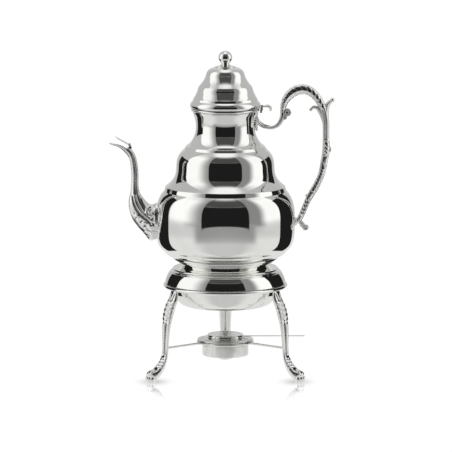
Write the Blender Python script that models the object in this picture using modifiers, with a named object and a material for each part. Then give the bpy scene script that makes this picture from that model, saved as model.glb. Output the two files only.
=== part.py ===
# A silver-plated coffee pot with three tiers, standing on a footed warmer with a spirit burner.
# Metres, +Z up. The spout points along -X, the handle and the lid's hinge are at +X,
# and the warmer's third leg is at the back, +Y.

from math import cos, pi, radians, sin

import bmesh
import bpy
from mathutils import Matrix, Vector

# General
GAP = 0.0003                # clear space between pieces that touch
WALL = 0.0012               # raised sheet of the pot, the lid and the warmer
ROUND = 28                  # sides of the large turned pieces
SMALL_ROUND = 16            # sides of the small turned pieces
SILVER = (0.86, 0.86, 0.84)
CAST_SILVER = (0.70, 0.70, 0.67)
BRASS = (0.78, 0.62, 0.36)
COTTON = (0.86, 0.83, 0.76)

# Heights, stacked from the table up
STAND_RIM_HEIGHT = 0.1103   # middle of the bead round the warmer's skirt
DOME_RISE = 0.0270          # rim bead to the seat of the pot
FOOT_RISE = 0.0081          # seat to the underside of the pot's body
BELLY_RISE = 0.0800         # lowest tier of the body
TIER_RISE = 0.0510          # middle tier, with the band under it
NECK_RISE = 0.0492          # neck, with the band under it
LID_RISE = 0.0497           # seam to the crown of the lid

# Radii of the pot
BELLY_RADIUS = 0.0840
BELLY_BAND_RADIUS = 0.0738
TIER_RADIUS = 0.0590
TIER_BAND_RADIUS = 0.0494
NECK_RADIUS = 0.0356
MOUTH_RADIUS = 0.0392       # outside of the neck at the mouth
FOOT_RADIUS = 0.0636
SEAT_RADIUS = 0.0518        # narrowest place, where the pot stands in the warmer
BAND_HEIGHT = 0.0049        # plain band between the middle tier and the belly
NECK_BAND_HEIGHT = 0.0032   # plain band between the neck and the middle tier

# Mouth, lid and finial
MOUTH_RING_OUT = 0.0022     # how far the mouth's ring stands out
MOUTH_RING_HEIGHT = 0.0036
LID_OVERHANG = 0.0034       # how far the lid's rim stands out past the mouth
LID_BAND_SHARE = 0.775      # radius of the lid's band, as a share of its rim's
LID_CROWN_SHARE = 0.535
BEZEL_DEPTH = 0.0075        # how far the lid's bezel reaches into the mouth
BEZEL_CLEARANCE = 0.0006
BALL_RADIUS = 0.0083
BALL_HEIGHT = 0.0110        # crown of the lid to the middle of the ball
STUD_RADIUS = 0.0021

# Lid hinge
HINGE_OUT = 0.0022          # mouth ring to the middle of the pin
HINGE_DOWN = 0.0012         # seam to the middle of the pin
KNUCKLE_RADIUS = 0.0017
PIN_RADIUS = 0.0008
HINGE_WIDTH = 0.0120
LID_KNUCKLE_WIDTH = 0.0044
THUMB_REACH = 0.0115        # pin to the tip of the thumb piece
THUMB_WIDTH = 0.0100
THUMB_THICKNESS = 0.0019

# Spout
SPOUT_REACH = 0.1400        # axis of the pot to the tip
SPOUT_TIP_HEIGHT = 0.1445   # seat of the pot to the tip
SPOUT_ROOT_HEIGHT = 0.0490  # seat of the pot to the middle of the spout's root
SPOUT_TUBE_RADIUS = 0.0046  # half the thickness of the slender part
SPOUT_ROOT_HALF = 0.0250    # half the height of the root
SPOUT_WALL = 0.0014
STRAINER_HOLE = 0.0018      # radius of each hole behind the spout
FLAP_LENGTH = 0.0202
FLAP_WIDTH = 0.0105
FLAP_THICKNESS = 0.0010
FLAP_TILT = 31.0            # degrees above level
FLAP_PIN_RADIUS = 0.0007
FLAP_KNUCKLE_RADIUS = 0.0014
FLAP_PLACE = 0.566          # root of the spout to the flap's pin, as a share of its reach
FLAP_EAR = 0.0012           # thickness of each ear of the flap's bracket

# Handle
HANDLE_REACH = 0.1308       # axis of the pot to the tip of the outer leaf
HANDLE_TOP = 0.0290         # crown of the scroll above the seam
HANDLE_ROOT_HEIGHT = 0.0505 # seat of the pot to the lower end of the handle
HANDLE_DEPTH = 0.0045       # half the handle's thickness, front to back
SOCKET_WIDTH = 0.0120       # upper socket, front to back

# Warmer
DOME_RADIUS = 0.0738        # skirt just above the bead
BEAD_RADIUS = 0.0023
BOWL_RADIUS = 0.0635
BOWL_DEPTH = 0.0253         # middle of the bead to the underside of the bowl
FLAME_OPENING = 0.0320      # radius of the hole in the bowl
SPIGOT_DEPTH = 0.0062       # how far the pot's foot reaches into the warmer
SPIGOT_CLEARANCE = 0.0005
FOOT_REACH = 0.1075         # axis to the outside of a foot
FOOT_SIZE = 0.0074          # radius of a foot
LEG_ANGLES = {"leg_left": 210.0, "leg_right": 330.0, "leg_rear": 90.0}
STRUT_RADIUS = 0.0015

# Burner
CAN_RADIUS = 0.0280
CAN_HEIGHT = 0.0182
CAN_WALL = 0.0008
CAN_UNDERSIDE = 0.0240      # above the table
RING_HEIGHT = 0.0030
RING_CLEARANCE = 0.0006
FLANGE_RADIUS = 0.0340
SNUFFER_RADIUS = 0.0220
SNUFFER_REACH = 0.0965      # axis to the end of the snuffer's handle
WICK_RADIUS = 0.0041
HOLDER_WALL = 0.0012

# Heights and places that follow from the sizes above
seat_z = STAND_RIM_HEIGHT + DOME_RISE
body_z = seat_z + FOOT_RISE
belly_top_z = body_z + BELLY_RISE
tier_z = belly_top_z + BAND_HEIGHT
tier_top_z = belly_top_z + TIER_RISE
neck_z = tier_top_z + NECK_BAND_HEIGHT
seam_z = tier_top_z + NECK_RISE
lid_z = seam_z + GAP
crown_z = lid_z + LID_RISE
lid_radius = MOUTH_RADIUS + LID_OVERHANG
lid_band_radius = lid_radius * LID_BAND_SHARE
lid_crown_radius = lid_radius * LID_CROWN_SHARE
lid_band_z = lid_z + LID_RISE * 0.52
hinge_x = MOUTH_RADIUS + MOUTH_RING_OUT + HINGE_OUT
hinge_z = seam_z - HINGE_DOWN
spout_root_z = seat_z + SPOUT_ROOT_HEIGHT
spout_tip_z = seat_z + SPOUT_TIP_HEIGHT
flap_pin_x = -BELLY_RADIUS - (SPOUT_REACH - BELLY_RADIUS) * FLAP_PLACE
flap_pin_z = spout_tip_z - 0.0006
handle_top_z = seam_z + HANDLE_TOP
handle_root_z = seat_z + HANDLE_ROOT_HEIGHT
can_top_z = CAN_UNDERSIDE + CAN_HEIGHT
cover_z = can_top_z + GAP
# The whole object is centred over its own origin: the spout and the handle reach differently far,
# and the rear foot reaches further than the belly does at the front.
axis_x = (SPOUT_REACH - HANDLE_REACH) / 2
axis_y = (BELLY_RADIUS - FOOT_REACH) / 2

for old in list(bpy.data.objects):
    bpy.data.objects.remove(old)

pieces = bpy.data.collections.new("coffee_pot_on_warmer")
cutters = bpy.data.collections.new("cutters")
for collection in (pieces, cutters):
    bpy.context.scene.collection.children.link(collection)
cutters.hide_render = True


def finish(name, color, roughness, metallic):
    material = bpy.data.materials.new(name)
    material.use_nodes = True
    shader = material.node_tree.nodes["Principled BSDF"]
    shader.inputs["Base Color"].default_value = (*color, 1.0)
    shader.inputs["Roughness"].default_value = roughness
    shader.inputs["Metallic"].default_value = metallic
    return material


def empty(name, place, parent=None):
    holder = bpy.data.objects.new(name, None)
    holder.empty_display_size = 0.02
    pieces.objects.link(holder)
    holder.parent = parent
    holder.location = place
    bpy.context.view_layer.update()
    return holder


# Everything is drawn about the pot's own axis, and hangs from this empty.
pot_axis = empty("pot_axis", (axis_x, axis_y, 0.0))
pot_frame = empty("pot_frame", (0.0, 0.0, seat_z), pot_axis)
lid_frame = empty("lid_frame", (hinge_x, 0.0, hinge_z - seat_z), pot_frame)
flap_frame = empty("flap_frame", (flap_pin_x, 0.0, flap_pin_z - seat_z), pot_frame)
burner_frame = empty("burner_frame", (0.0, 0.0, can_top_z), pot_axis)
snuffer_frame = empty("snuffer_frame", (0.0, 0.0, 0.0), burner_frame)


def settle(obj, frame, color, roughness=0.12, metallic=1.0):
    # Gives a finished object its own material and hangs it from its frame, where it was drawn.
    pieces.objects.link(obj)
    obj.data.materials.append(finish(obj.name + "_finish", color, roughness, metallic))
    obj.parent = frame
    obj.matrix_parent_inverse = frame.matrix_world.inverted() @ pot_axis.matrix_world
    return obj


def as_cutter(obj):
    cutters.objects.link(obj)
    obj.parent = pot_axis
    obj.hide_render = True
    obj.display_type = "WIRE"
    return obj


def object_from(name, bm, smooth_angle=35.0):
    mesh = bpy.data.meshes.new(name)
    bm.to_mesh(mesh)
    bm.free()
    mesh.shade_smooth()
    mesh.set_sharp_from_angle(angle=radians(smooth_angle))
    return bpy.data.objects.new(name, mesh)


# Outlines

def between(low, high, share):
    return low + (high - low) * share


def course(stations, radii, heights):
    # Stations are (share of the way between two radii, share of the way between two heights).
    return [(between(*radii, out), between(*heights, up)) for out, up in stations]


def smooth(points, steps):
    # A Catmull-Rom curve through all the points, with the given steps to each span.
    points = [Vector(point) for point in points]
    ends = [points[0] * 2 - points[1]] + points + [points[-1] * 2 - points[-2]]
    curve = [points[0]]
    for a, b, c, d in zip(ends, ends[1:], ends[2:], ends[3:]):
        for step in range(1, steps + 1):
            t = step / steps
            curve.append(0.5 * (2 * b + (c - a) * t + (2 * a - 5 * b + 4 * c - d) * t * t
                                + (3 * b - a - 3 * c + d) * t ** 3))
    return curve


def arc(center, radius, start, end, steps):
    # Points on an arc, from start to end in degrees, 0 pointing outwards and 90 up.
    turns = [radians(between(start, end, step / steps)) for step in range(steps + 1)]
    return [(center[0] + radius * cos(a), center[1] + radius * sin(a)) for a in turns]


def radius_at(outline, height):
    # The radius of an outline that runs downwards, at a height.
    for (r0, z0), (r1, z1) in zip(outline, outline[1:]):
        if z0 >= height > z1:
            return between(r0, r1, (z0 - height) / (z0 - z1))
    return outline[-1][0]


# Solids

def parted(outline, height):
    # An outline's upper and lower parts, a gap apart along the segment that crosses the height.
    for i, (upper, lower) in enumerate(zip(outline, outline[1:])):
        if upper[1] > height >= lower[1]:
            start, end = Vector(upper), Vector(lower)
            place = start.lerp(end, (upper[1] - height) / (upper[1] - lower[1]))
            half_gap = (end - start).normalized() * GAP / 2
            return (outline[:i + 1] + [tuple(place - half_gap)],
                    [tuple(place + half_gap)] + outline[i + 1:])
    raise ValueError("no segment crosses this height")


def turned(name, profile, closed=False, sides=ROUND):
    # The profile runs down the outer side; a closed one comes back up the inner side.
    bm = bmesh.new()
    corners = [bm.verts.new((point[0], 0.0, point[1])) for point in profile]
    for a, b in zip(corners, corners[1:] + corners[:1] * closed):
        bm.edges.new((a, b))
    obj = object_from(name, bm)
    screw = obj.modifiers.new("turn", "SCREW")
    screw.axis = "Z"
    screw.steps = sides
    screw.render_steps = sides
    screw.use_merge_vertices = True
    screw.merge_threshold = 0.00001
    screw.use_smooth_shade = True
    return obj


def shell(name, profile, wall=WALL, sides=ROUND):
    obj = turned(name, profile, sides=sides)
    solidify = obj.modifiers.new("wall", "SOLIDIFY")
    solidify.thickness = wall
    solidify.offset = -1.0
    solidify.use_even_offset = True
    return obj


def loft(name, stations, sides, steps=1):
    # Oval sections across a path in the XZ plane: (x, z, half thickness, half depth).
    path = smooth(stations, steps)
    bm = bmesh.new()
    rings = []
    for index, (x, z, thick, deep) in enumerate(path):
        before = path[max(index - 1, 0)]
        after = path[min(index + 1, len(path) - 1)]
        along = Vector((after[0] - before[0], 0.0, after[1] - before[1])).normalized()
        across = Vector((along.z, 0.0, -along.x))
        turns = [2 * pi * side / sides for side in range(sides)]
        rings.append([bm.verts.new(Vector((x, deep * sin(a), z)) + across * (thick * cos(a)))
                      for a in turns])
    for ring, after in zip(rings, rings[1:]):
        for side in range(sides):
            following = (side + 1) % sides
            bm.faces.new((ring[side], ring[following], after[following], after[side]))
    bm.faces.new(rings[0])
    bm.faces.new(rings[-1])
    bmesh.ops.recalc_face_normals(bm, faces=bm.faces)
    return object_from(name, bm, 50.0)


def block(name, low, high):
    bm = bmesh.new()
    bmesh.ops.create_cube(bm, size=1.0)
    size = Vector(high) - Vector(low)
    bmesh.ops.scale(bm, vec=size, verts=bm.verts)
    bmesh.ops.translate(bm, vec=(Vector(high) + Vector(low)) / 2, verts=bm.verts)
    return object_from(name, bm)


def rod(name, start, end, radius, sides=SMALL_ROUND):
    # A cylinder between two points.
    start, end = Vector(start), Vector(end)
    bm = bmesh.new()
    bmesh.ops.create_cone(bm, cap_ends=True, segments=sides, radius1=radius, radius2=radius,
                          depth=(end - start).length)
    turn = Vector((0, 0, 1)).rotation_difference(end - start).to_matrix().to_4x4()
    bmesh.ops.transform(bm, matrix=Matrix.Translation((start + end) / 2) @ turn, verts=bm.verts)
    return object_from(name, bm)


def ball(name, center, radius, sides=16):
    bm = bmesh.new()
    bmesh.ops.create_uvsphere(bm, u_segments=sides, v_segments=sides // 2, radius=radius)
    bmesh.ops.translate(bm, vec=center, verts=bm.verts)
    return object_from(name, bm)


def plate(name, outline, thickness):
    # A flat outline in the XY plane, the same thickness above and below it.
    curve = bpy.data.curves.new(name, "CURVE")
    curve.dimensions = "2D"
    curve.fill_mode = "BOTH"
    curve.extrude = thickness / 2
    line = curve.splines.new("POLY")
    line.points.add(len(outline) - 1)
    for point, (x, y) in zip(line.points, outline):
        point.co = (x, y, 0.0, 1.0)
    line.use_cyclic_u = True
    return as_mesh(bpy.data.objects.new(name, curve))


def as_mesh(curve_object):
    # A curve's caps are loose, so they are welded before the mesh is cut or joined.
    bpy.context.scene.collection.objects.link(curve_object)
    bpy.context.view_layer.update()
    evaluated = curve_object.evaluated_get(bpy.context.evaluated_depsgraph_get())
    mesh = bpy.data.meshes.new_from_object(evaluated)
    bm = bmesh.new()
    bm.from_mesh(mesh)
    bmesh.ops.remove_doubles(bm, verts=bm.verts, dist=0.000001)
    bmesh.ops.recalc_face_normals(bm, faces=bm.faces)
    name = curve_object.name
    bpy.data.objects.remove(curve_object)
    return object_from(name, bm)


def moved(obj, matrix):
    obj.data.transform(matrix)
    return obj


def combine(obj, other, operation):
    boolean = obj.modifiers.new(operation.lower() + "_" + other.name, "BOOLEAN")
    boolean.operation = operation
    boolean.object = as_cutter(other) if not other.users_collection else other
    return obj


def cut(obj, *others):
    for other in others:
        combine(obj, other, "DIFFERENCE")
    return obj


def join(obj, *others):
    for other in others:
        combine(obj, other, "UNION")
    return obj


# Pot

def body_outline():
    neck = (neck_z, seam_z)
    outline = course([(1, 1), (0.94, 0.88), (0.28, 0.72), (0, 0.53)],
                     (NECK_RADIUS, MOUTH_RADIUS), neck)
    outline += course([(0.08, 0.35), (0.28, 0.19), (0.58, 0.085), (1, 0)],
                      (NECK_RADIUS, TIER_BAND_RADIUS - 0.0018), neck)
    tier = (tier_z, tier_top_z)
    outline += course([(0, 1), (0.19, 0.965), (0.45, 0.91), (0.80, 0.80), (1, 0.66), (1, 0.52)],
                      (TIER_BAND_RADIUS, TIER_RADIUS), tier)
    outline += course([(0.12, 0.315), (0.31, 0.21), (0.65, 0.104), (1, 0)],
                      (TIER_RADIUS, BELLY_BAND_RADIUS - 0.0012), tier)
    belly = (body_z, belly_top_z)
    outline += course([(0, 1), (0.18, 0.97), (0.53, 0.91), (0.77, 0.83), (0.93, 0.74), (1, 0.64)],
                      (BELLY_BAND_RADIUS, BELLY_RADIUS), belly)
    outline += course([(1, 0.38), (0.97, 0.26), (0.88, 0.18), (0.68, 0.12), (0.45, 0.07), (0, 0)],
                      (FOOT_RADIUS, BELLY_RADIUS), belly)
    return outline


def clear_of_body(name):
    # A solid of the body's outer shape, a gap larger, that cuts whatever is soldered to it.
    outline = [(r + GAP, z) for r, z in body_outline()]
    top = [(0.0, seam_z)]
    base = [(0.0, body_z)]
    return as_cutter(turned(name, top + outline + base))


def strainer_holes():
    # A ring of holes round one in the middle, through the wall behind the spout.
    pitch = STRAINER_HOLE * 3.2
    places = [(0.0, 0.0)] + [(pitch * cos(a), pitch * sin(a))
                             for a in (radians(60 * n) for n in range(6))]
    bm = bmesh.new()
    for across, up in places:
        turn = Matrix.Rotation(radians(90), 4, "Y")
        place = Matrix.Translation((-BELLY_RADIUS, across, spout_root_z + up))
        bmesh.ops.create_cone(bm, cap_ends=True, segments=10, radius1=STRAINER_HOLE,
                              radius2=STRAINER_HOLE, depth=WALL * 10, matrix=place @ turn)
    return object_from("strainer_holes", bm)


def make_pot():
    # Neck, middle tier and belly are joined in the plain bands between them.
    upper, belly = parted(body_outline(), (tier_z + belly_top_z) / 2)
    neck, tier = parted(upper, (neck_z + tier_top_z) / 2)
    body = shell("pot_body", belly + [(0.0, body_z)])
    cut(body, strainer_holes())
    settle(body, pot_frame, SILVER, 0.06)
    settle(shell("pot_tier", tier), pot_frame, SILVER, 0.06)
    settle(shell("pot_neck", neck), pot_frame, SILVER, 0.06)

    # The foot hides the pot's base and locates it in the warmer.
    top = body_z - GAP
    spigot = SEAT_RADIUS - WALL - SPIGOT_CLEARANCE
    inner = spigot - WALL
    rest = seat_z + GAP
    foot = [(FOOT_RADIUS, top)]
    foot += course([(0.72, 0.80), (0.30, 0.55), (0.06, 0.28), (0, 0)],
                   (SEAT_RADIUS, FOOT_RADIUS), (rest, top))
    foot += [(spigot, rest), (spigot, rest - SPIGOT_DEPTH), (inner, rest - SPIGOT_DEPTH)]
    foot += [(inner, between(rest, top, 0.4)), (FOOT_RADIUS - 0.006, top)]
    settle(turned("foot_ring", foot, closed=True), pot_frame, SILVER, 0.06)

    low = seam_z - MOUTH_RING_HEIGHT
    middle = (MOUTH_RADIUS + GAP, (low + seam_z) / 2)
    half = MOUTH_RING_HEIGHT / 2
    ring = [(middle[0] + (MOUTH_RING_OUT - GAP) * cos(a), middle[1] + half * sin(a))
            for a in (radians(angle) for angle in range(90, -91, -30))]
    settle(turned("mouth_ring", ring, closed=True), pot_frame, SILVER, 0.06)


# Spout

def spout_path():
    # (x, z, half thickness, half depth), from inside the body's wall to the tip.
    root_x, tip_x = -BELLY_RADIUS, -SPOUT_REACH
    tube = SPOUT_TUBE_RADIUS
    stations = []
    for out, up, thick, deep in (
        (-0.10, -0.02, SPOUT_ROOT_HALF * 1.02, SPOUT_ROOT_HALF * 0.66),
        (0.03, 0.01, SPOUT_ROOT_HALF * 0.92, SPOUT_ROOT_HALF * 0.60),
        (0.13, 0.05, SPOUT_ROOT_HALF * 0.70, SPOUT_ROOT_HALF * 0.50),
        (0.25, 0.10, SPOUT_ROOT_HALF * 0.50, SPOUT_ROOT_HALF * 0.42),
        (0.37, 0.19, tube * 2.1, tube * 2.0),
        (0.44, 0.32, tube * 1.5, tube * 1.5),
        (0.45, 0.46, tube * 1.05, tube * 1.15),
        (0.455, 0.62, tube, tube * 1.1),
        (0.48, 0.76, tube * 0.95, tube * 1.1),
        (0.54, 0.87, tube * 0.88, tube * 1.15),
        (0.65, 0.945, tube * 0.80, tube * 1.2),
        (0.80, 0.985, tube * 0.56, tube * 1.1),
        (0.92, 1.0, tube * 0.34, tube * 0.7),
        (1.0, 1.0, tube * 0.14, tube * 0.25),
    ):
        stations.append((between(root_x, tip_x, out), between(spout_root_z, spout_tip_z, up),
                         thick, deep))
    return stations


def spout_bore():
    # The channel, which leaves the beak through its upper side.
    inner = [(x, z, thick - SPOUT_WALL, deep - SPOUT_WALL) for x, z, thick, deep in spout_path()]
    x, z, thick, deep = inner[10]
    inner = inner[:10] + [(x + 0.0004, z + 0.0015, thick, deep),
                          (x - 0.0022, z + 0.0075, thick, deep),
                          (x - 0.0040, z + 0.0160, thick * 1.1, deep)]
    return loft("spout_bore", inner, 12, 2)


def make_spout():
    spout = loft("spout", spout_path(), 14, 2)
    cut(spout, spout_bore(), clear_of_body("spout_seat"))
    settle(spout, pot_frame, CAST_SILVER, 0.22)

    ear_in = FLAP_WIDTH * 0.26
    ear_out = ear_in + FLAP_EAR
    pin_end = ear_out + 0.0004
    pin_low, pin_high = (flap_pin_x, -pin_end, flap_pin_z), (flap_pin_x, pin_end, flap_pin_z)
    settle(rod("spout_flap_pin", pin_low, pin_high, FLAP_PIN_RADIUS, 12), pot_frame, SILVER)

    # The bracket's foot is cut to the spout's upper side.
    saddle = flap_pin_z - FLAP_KNUCKLE_RADIUS - 2 * GAP
    foot_half = ear_out + 0.0002
    bracket = block("spout_flap_bracket", (flap_pin_x - 0.0008, -foot_half, saddle - 0.0028),
                    (flap_pin_x + 0.0026, foot_half, saddle))
    for side in (-1, 1):
        low_y, high_y = sorted((side * ear_in, side * ear_out))
        lug = rod("lug", (flap_pin_x, low_y, flap_pin_z), (flap_pin_x, high_y, flap_pin_z),
                  FLAP_KNUCKLE_RADIUS, 12)
        web = block("web", (flap_pin_x - 0.0007, low_y + 0.0001, saddle - 0.0004),
                    (flap_pin_x + 0.0007, high_y - 0.0001, flap_pin_z))
        join(bracket, lug, web)
    lug_bore = rod("lug_bore", (flap_pin_x, -ear_out * 2, flap_pin_z),
                   (flap_pin_x, ear_out * 2, flap_pin_z), FLAP_PIN_RADIUS + GAP, 12)
    around = [(x, z, thick + GAP, deep + GAP) for x, z, thick, deep in spout_path()]
    cut(bracket, lug_bore, loft("flap_seat", around, 14, 2))
    settle(bracket, pot_frame, CAST_SILVER, 0.22)

    # The flap is a pointed leaf with a knuckle at its root.
    half = FLAP_WIDTH / 2
    edge = [(0.0, 0.30), (0.12, 0.62), (0.30, 0.95), (0.45, 1.0), (0.62, 0.86), (0.80, 0.50), (1.0, 0.0)]
    outline = [(-FLAP_LENGTH * along, half * wide) for along, wide in edge]
    outline += [(x, -y) for x, y in reversed(outline[:-1])]
    flap = plate("spout_flap", outline, FLAP_THICKNESS)
    knuckle_half = ear_in - GAP
    join(flap, rod("flap_knuckle", (0, -knuckle_half, 0), (0, knuckle_half, 0), FLAP_KNUCKLE_RADIUS, 12))
    cut(flap, rod("flap_bore", (0, -half * 2, 0), (0, half * 2, 0), FLAP_PIN_RADIUS + GAP, 12))
    tilt = Matrix.Translation((flap_pin_x, 0, flap_pin_z)) @ Matrix.Rotation(radians(FLAP_TILT), 4, "Y")
    for obj in [flap] + [modifier.object for modifier in flap.modifiers]:
        moved(obj, tilt)
    settle(flap, flap_frame, CAST_SILVER, 0.22)


# Handle

def handle_path():
    # From the upper socket out along the arm, up round the scroll and down the back to the body.
    root_x, back_x = NECK_RADIUS, HANDLE_REACH - 0.0092
    arm_z, top_z = seam_z - 0.0238, handle_top_z - 0.0060
    deep = HANDLE_DEPTH
    upper = []
    for out, up, thick, wide in (
        (0.02, 0.16, 0.0024, 0.9), (0.13, 0.02, 0.0022, 0.8), (0.21, 0.0, 0.0022, 0.7),
        (0.29, 0.03, 0.0024, 0.7), (0.355, 0.15, 0.0026, 0.8), (0.39, 0.31, 0.0030, 0.9),
        (0.388, 0.48, 0.0032, 0.9), (0.405, 0.65, 0.0034, 1.0), (0.465, 0.84, 0.0042, 1.0),
        (0.57, 0.97, 0.0054, 1.1), (0.67, 1.0, 0.0060, 1.1), (0.78, 0.965, 0.0056, 1.1),
        (0.865, 0.82, 0.0048, 1.0), (0.93, 0.62, 0.0046, 1.0), (0.975, 0.36, 0.0046, 1.0),
    ):
        upper.append((between(root_x, back_x, out), between(arm_z, top_z, up), thick, deep * wide))
    lower = []
    for out, up, thick, wide in (
        (1.0, 1.0, 0.0044, 1.0), (1.0, 0.78, 0.0042, 1.0), (0.95, 0.66, 0.0040, 1.0),
        (0.88, 0.55, 0.0042, 1.0), (0.76, 0.45, 0.0040, 0.9), (0.60, 0.33, 0.0038, 0.9),
        (0.42, 0.19, 0.0036, 0.9), (0.24, 0.07, 0.0036, 0.9), (0.10, 0.0, 0.0038, 1.0),
    ):
        lower.append((between(BELLY_RADIUS, back_x, out), between(handle_root_z, arm_z, up),
                      thick, deep * wide))
    return upper + lower


def make_handle():
    handle = loft("handle", handle_path(), 10)
    back_x = HANDLE_REACH - 0.0092
    crown = handle_top_z
    eye = (between(NECK_RADIUS, back_x, 0.45), seam_z - 0.0052)
    scroll = rod("scroll", (eye[0], -HANDLE_DEPTH, eye[1]), (eye[0], HANDLE_DEPTH, eye[1]), 0.0049, 14)
    outer_leaf = loft("outer_leaf", [(back_x - 0.0030, crown - 0.0330, 0.0030, HANDLE_DEPTH * 0.8),
                                     (back_x + 0.0035, crown - 0.0245, 0.0020, HANDLE_DEPTH * 0.7),
                                     (back_x + 0.0080, crown - 0.0185, 0.0012, HANDLE_DEPTH * 0.5)], 8)
    inner_leaf = loft("inner_leaf", [(back_x - 0.0020, crown - 0.0350, 0.0030, HANDLE_DEPTH * 0.8),
                                     (back_x - 0.0080, crown - 0.0290, 0.0022, HANDLE_DEPTH * 0.7),
                                     (back_x - 0.0136, crown - 0.0272, 0.0018, HANDLE_DEPTH * 0.6),
                                     (back_x - 0.0184, crown - 0.0310, 0.0014, HANDLE_DEPTH * 0.5)], 8)
    join(handle, scroll, outer_leaf, inner_leaf)
    end_x = BELLY_RADIUS + 0.0030
    cut(handle,
        block("handle_end", (0.0, -0.05, handle_root_z - 0.05), (end_x, 0.05, handle_root_z + 0.03)),
        block("arm_end", (0.0, -0.05, seam_z - 0.05), (NECK_RADIUS + 0.0040, 0.05, seam_z)))
    settle(handle, pot_frame, CAST_SILVER, 0.22)

    # Upper socket: a tapering plate down the neck that takes the arm's end.
    face = NECK_RADIUS + 0.0040 - GAP
    back = NECK_RADIUS - 0.001
    socket = loft("handle_upper_socket", [(back, seam_z - 0.0050, 0.0048, SOCKET_WIDTH / 2),
                                          (back, seam_z - 0.0150, 0.0048, SOCKET_WIDTH / 2),
                                          (back, seam_z - 0.0270, 0.0046, SOCKET_WIDTH / 3)], 10)
    cut(socket, clear_of_body("upper_socket_seat"))
    cut(socket, block("socket_face", (face, -0.05, seam_z - 0.06), (face + 0.05, 0.05, seam_z)))
    settle(socket, pot_frame, CAST_SILVER, 0.22)

    # Lower socket: a short collar between the belly and the handle's end, with a ball under it.
    low = handle_root_z
    collar = rod("handle_lower_socket", (BELLY_RADIUS - 0.008, 0, low), (end_x - GAP, 0, low), 0.0062, 14)
    cut(collar, clear_of_body("lower_socket_seat"))
    settle(collar, pot_frame, CAST_SILVER, 0.22)
    drop = ball("handle_ball", (BELLY_RADIUS + 0.0119, 0, low - 0.0076), 0.0035, 12)
    tail = rod("handle_tail", (BELLY_RADIUS + 0.0075, 0, low + 0.0020),
               (BELLY_RADIUS + 0.0118, 0, low - 0.0070), 0.0022, 8)
    join(handle, tail, drop)


# Lid

def lid_outline():
    lower_band_z = lid_z + LID_RISE * 0.18
    outline = [(0.0, crown_z)]
    outline += course([(0.60, 0.985), (0.82, 0.93), (0.96, 0.82), (1.02, 0.68)],
                      (0.0, lid_crown_radius), (lid_band_z, crown_z))
    outline += course([(0.13, 0.48), (0.42, 0.26), (0.75, 0.10), (0.94, 0.04)],
                      (lid_crown_radius, lid_band_radius), (lid_band_z, crown_z))
    wall_radius = lid_band_radius + 0.0055
    outline += course([(0, 0.96), (0.22, 0.72), (0.62, 0.38), (0.92, 0.14), (1, 0)],
                      (lid_band_radius, wall_radius), (lower_band_z, lid_band_z))
    outline += course([(0.25, 0.86), (0.80, 0.62), (1.0, 0.36), (0.95, 0.12), (0.85, 0.0)],
                      (wall_radius, lid_radius), (lid_z, lower_band_z))
    return outline


def make_lid():
    crown, skirt = parted(lid_outline(), lid_band_z)
    settle(shell("lid_skirt", skirt), lid_frame, SILVER, 0.06)
    lid = shell("lid_shell", crown)
    stud_hole = rod("stud_hole", (0, 0, crown_z - 0.01), (0, 0, crown_z + 0.01), STUD_RADIUS + GAP, 12)
    cut(lid, stud_hole)
    settle(lid, lid_frame, SILVER, 0.06)

    # The bezel hangs from the lid and drops into the mouth.
    outer = radius_at(body_outline(), seam_z - BEZEL_DEPTH) - WALL - BEZEL_CLEARANCE
    top = lid_z + LID_RISE * 0.07
    bezel = [(outer, top), (outer, lid_z - BEZEL_DEPTH), (outer - 0.0008, lid_z - BEZEL_DEPTH),
             (outer - 0.0008, top)]
    settle(turned("lid_bezel", bezel, closed=True), lid_frame, SILVER)

    ball_z = crown_z + BALL_HEIGHT
    neck = BALL_RADIUS * 0.48
    finial = arc((0.0, ball_z), BALL_RADIUS, 90, -58, 7)
    finial += [(neck, ball_z - BALL_RADIUS - 0.0008), (neck * 1.25, crown_z + 0.0022),
               (neck * 1.9, crown_z + GAP * 2), (STUD_RADIUS, crown_z + GAP * 2),
               (STUD_RADIUS, crown_z - 0.0062), (0.0, crown_z - 0.0062)]
    settle(turned("lid_finial", finial, sides=SMALL_ROUND), lid_frame, SILVER, 0.06)

    nut_top = crown_z - WALL - GAP
    nut = rod("finial_nut", (0, 0, nut_top - 0.0030), (0, 0, nut_top), 0.0046, 6)
    cut(nut, rod("nut_bore", (0, 0, nut_top - 0.01), (0, 0, nut_top + 0.01), STUD_RADIUS + GAP, 12))
    settle(nut, lid_frame, BRASS, 0.3)


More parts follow.
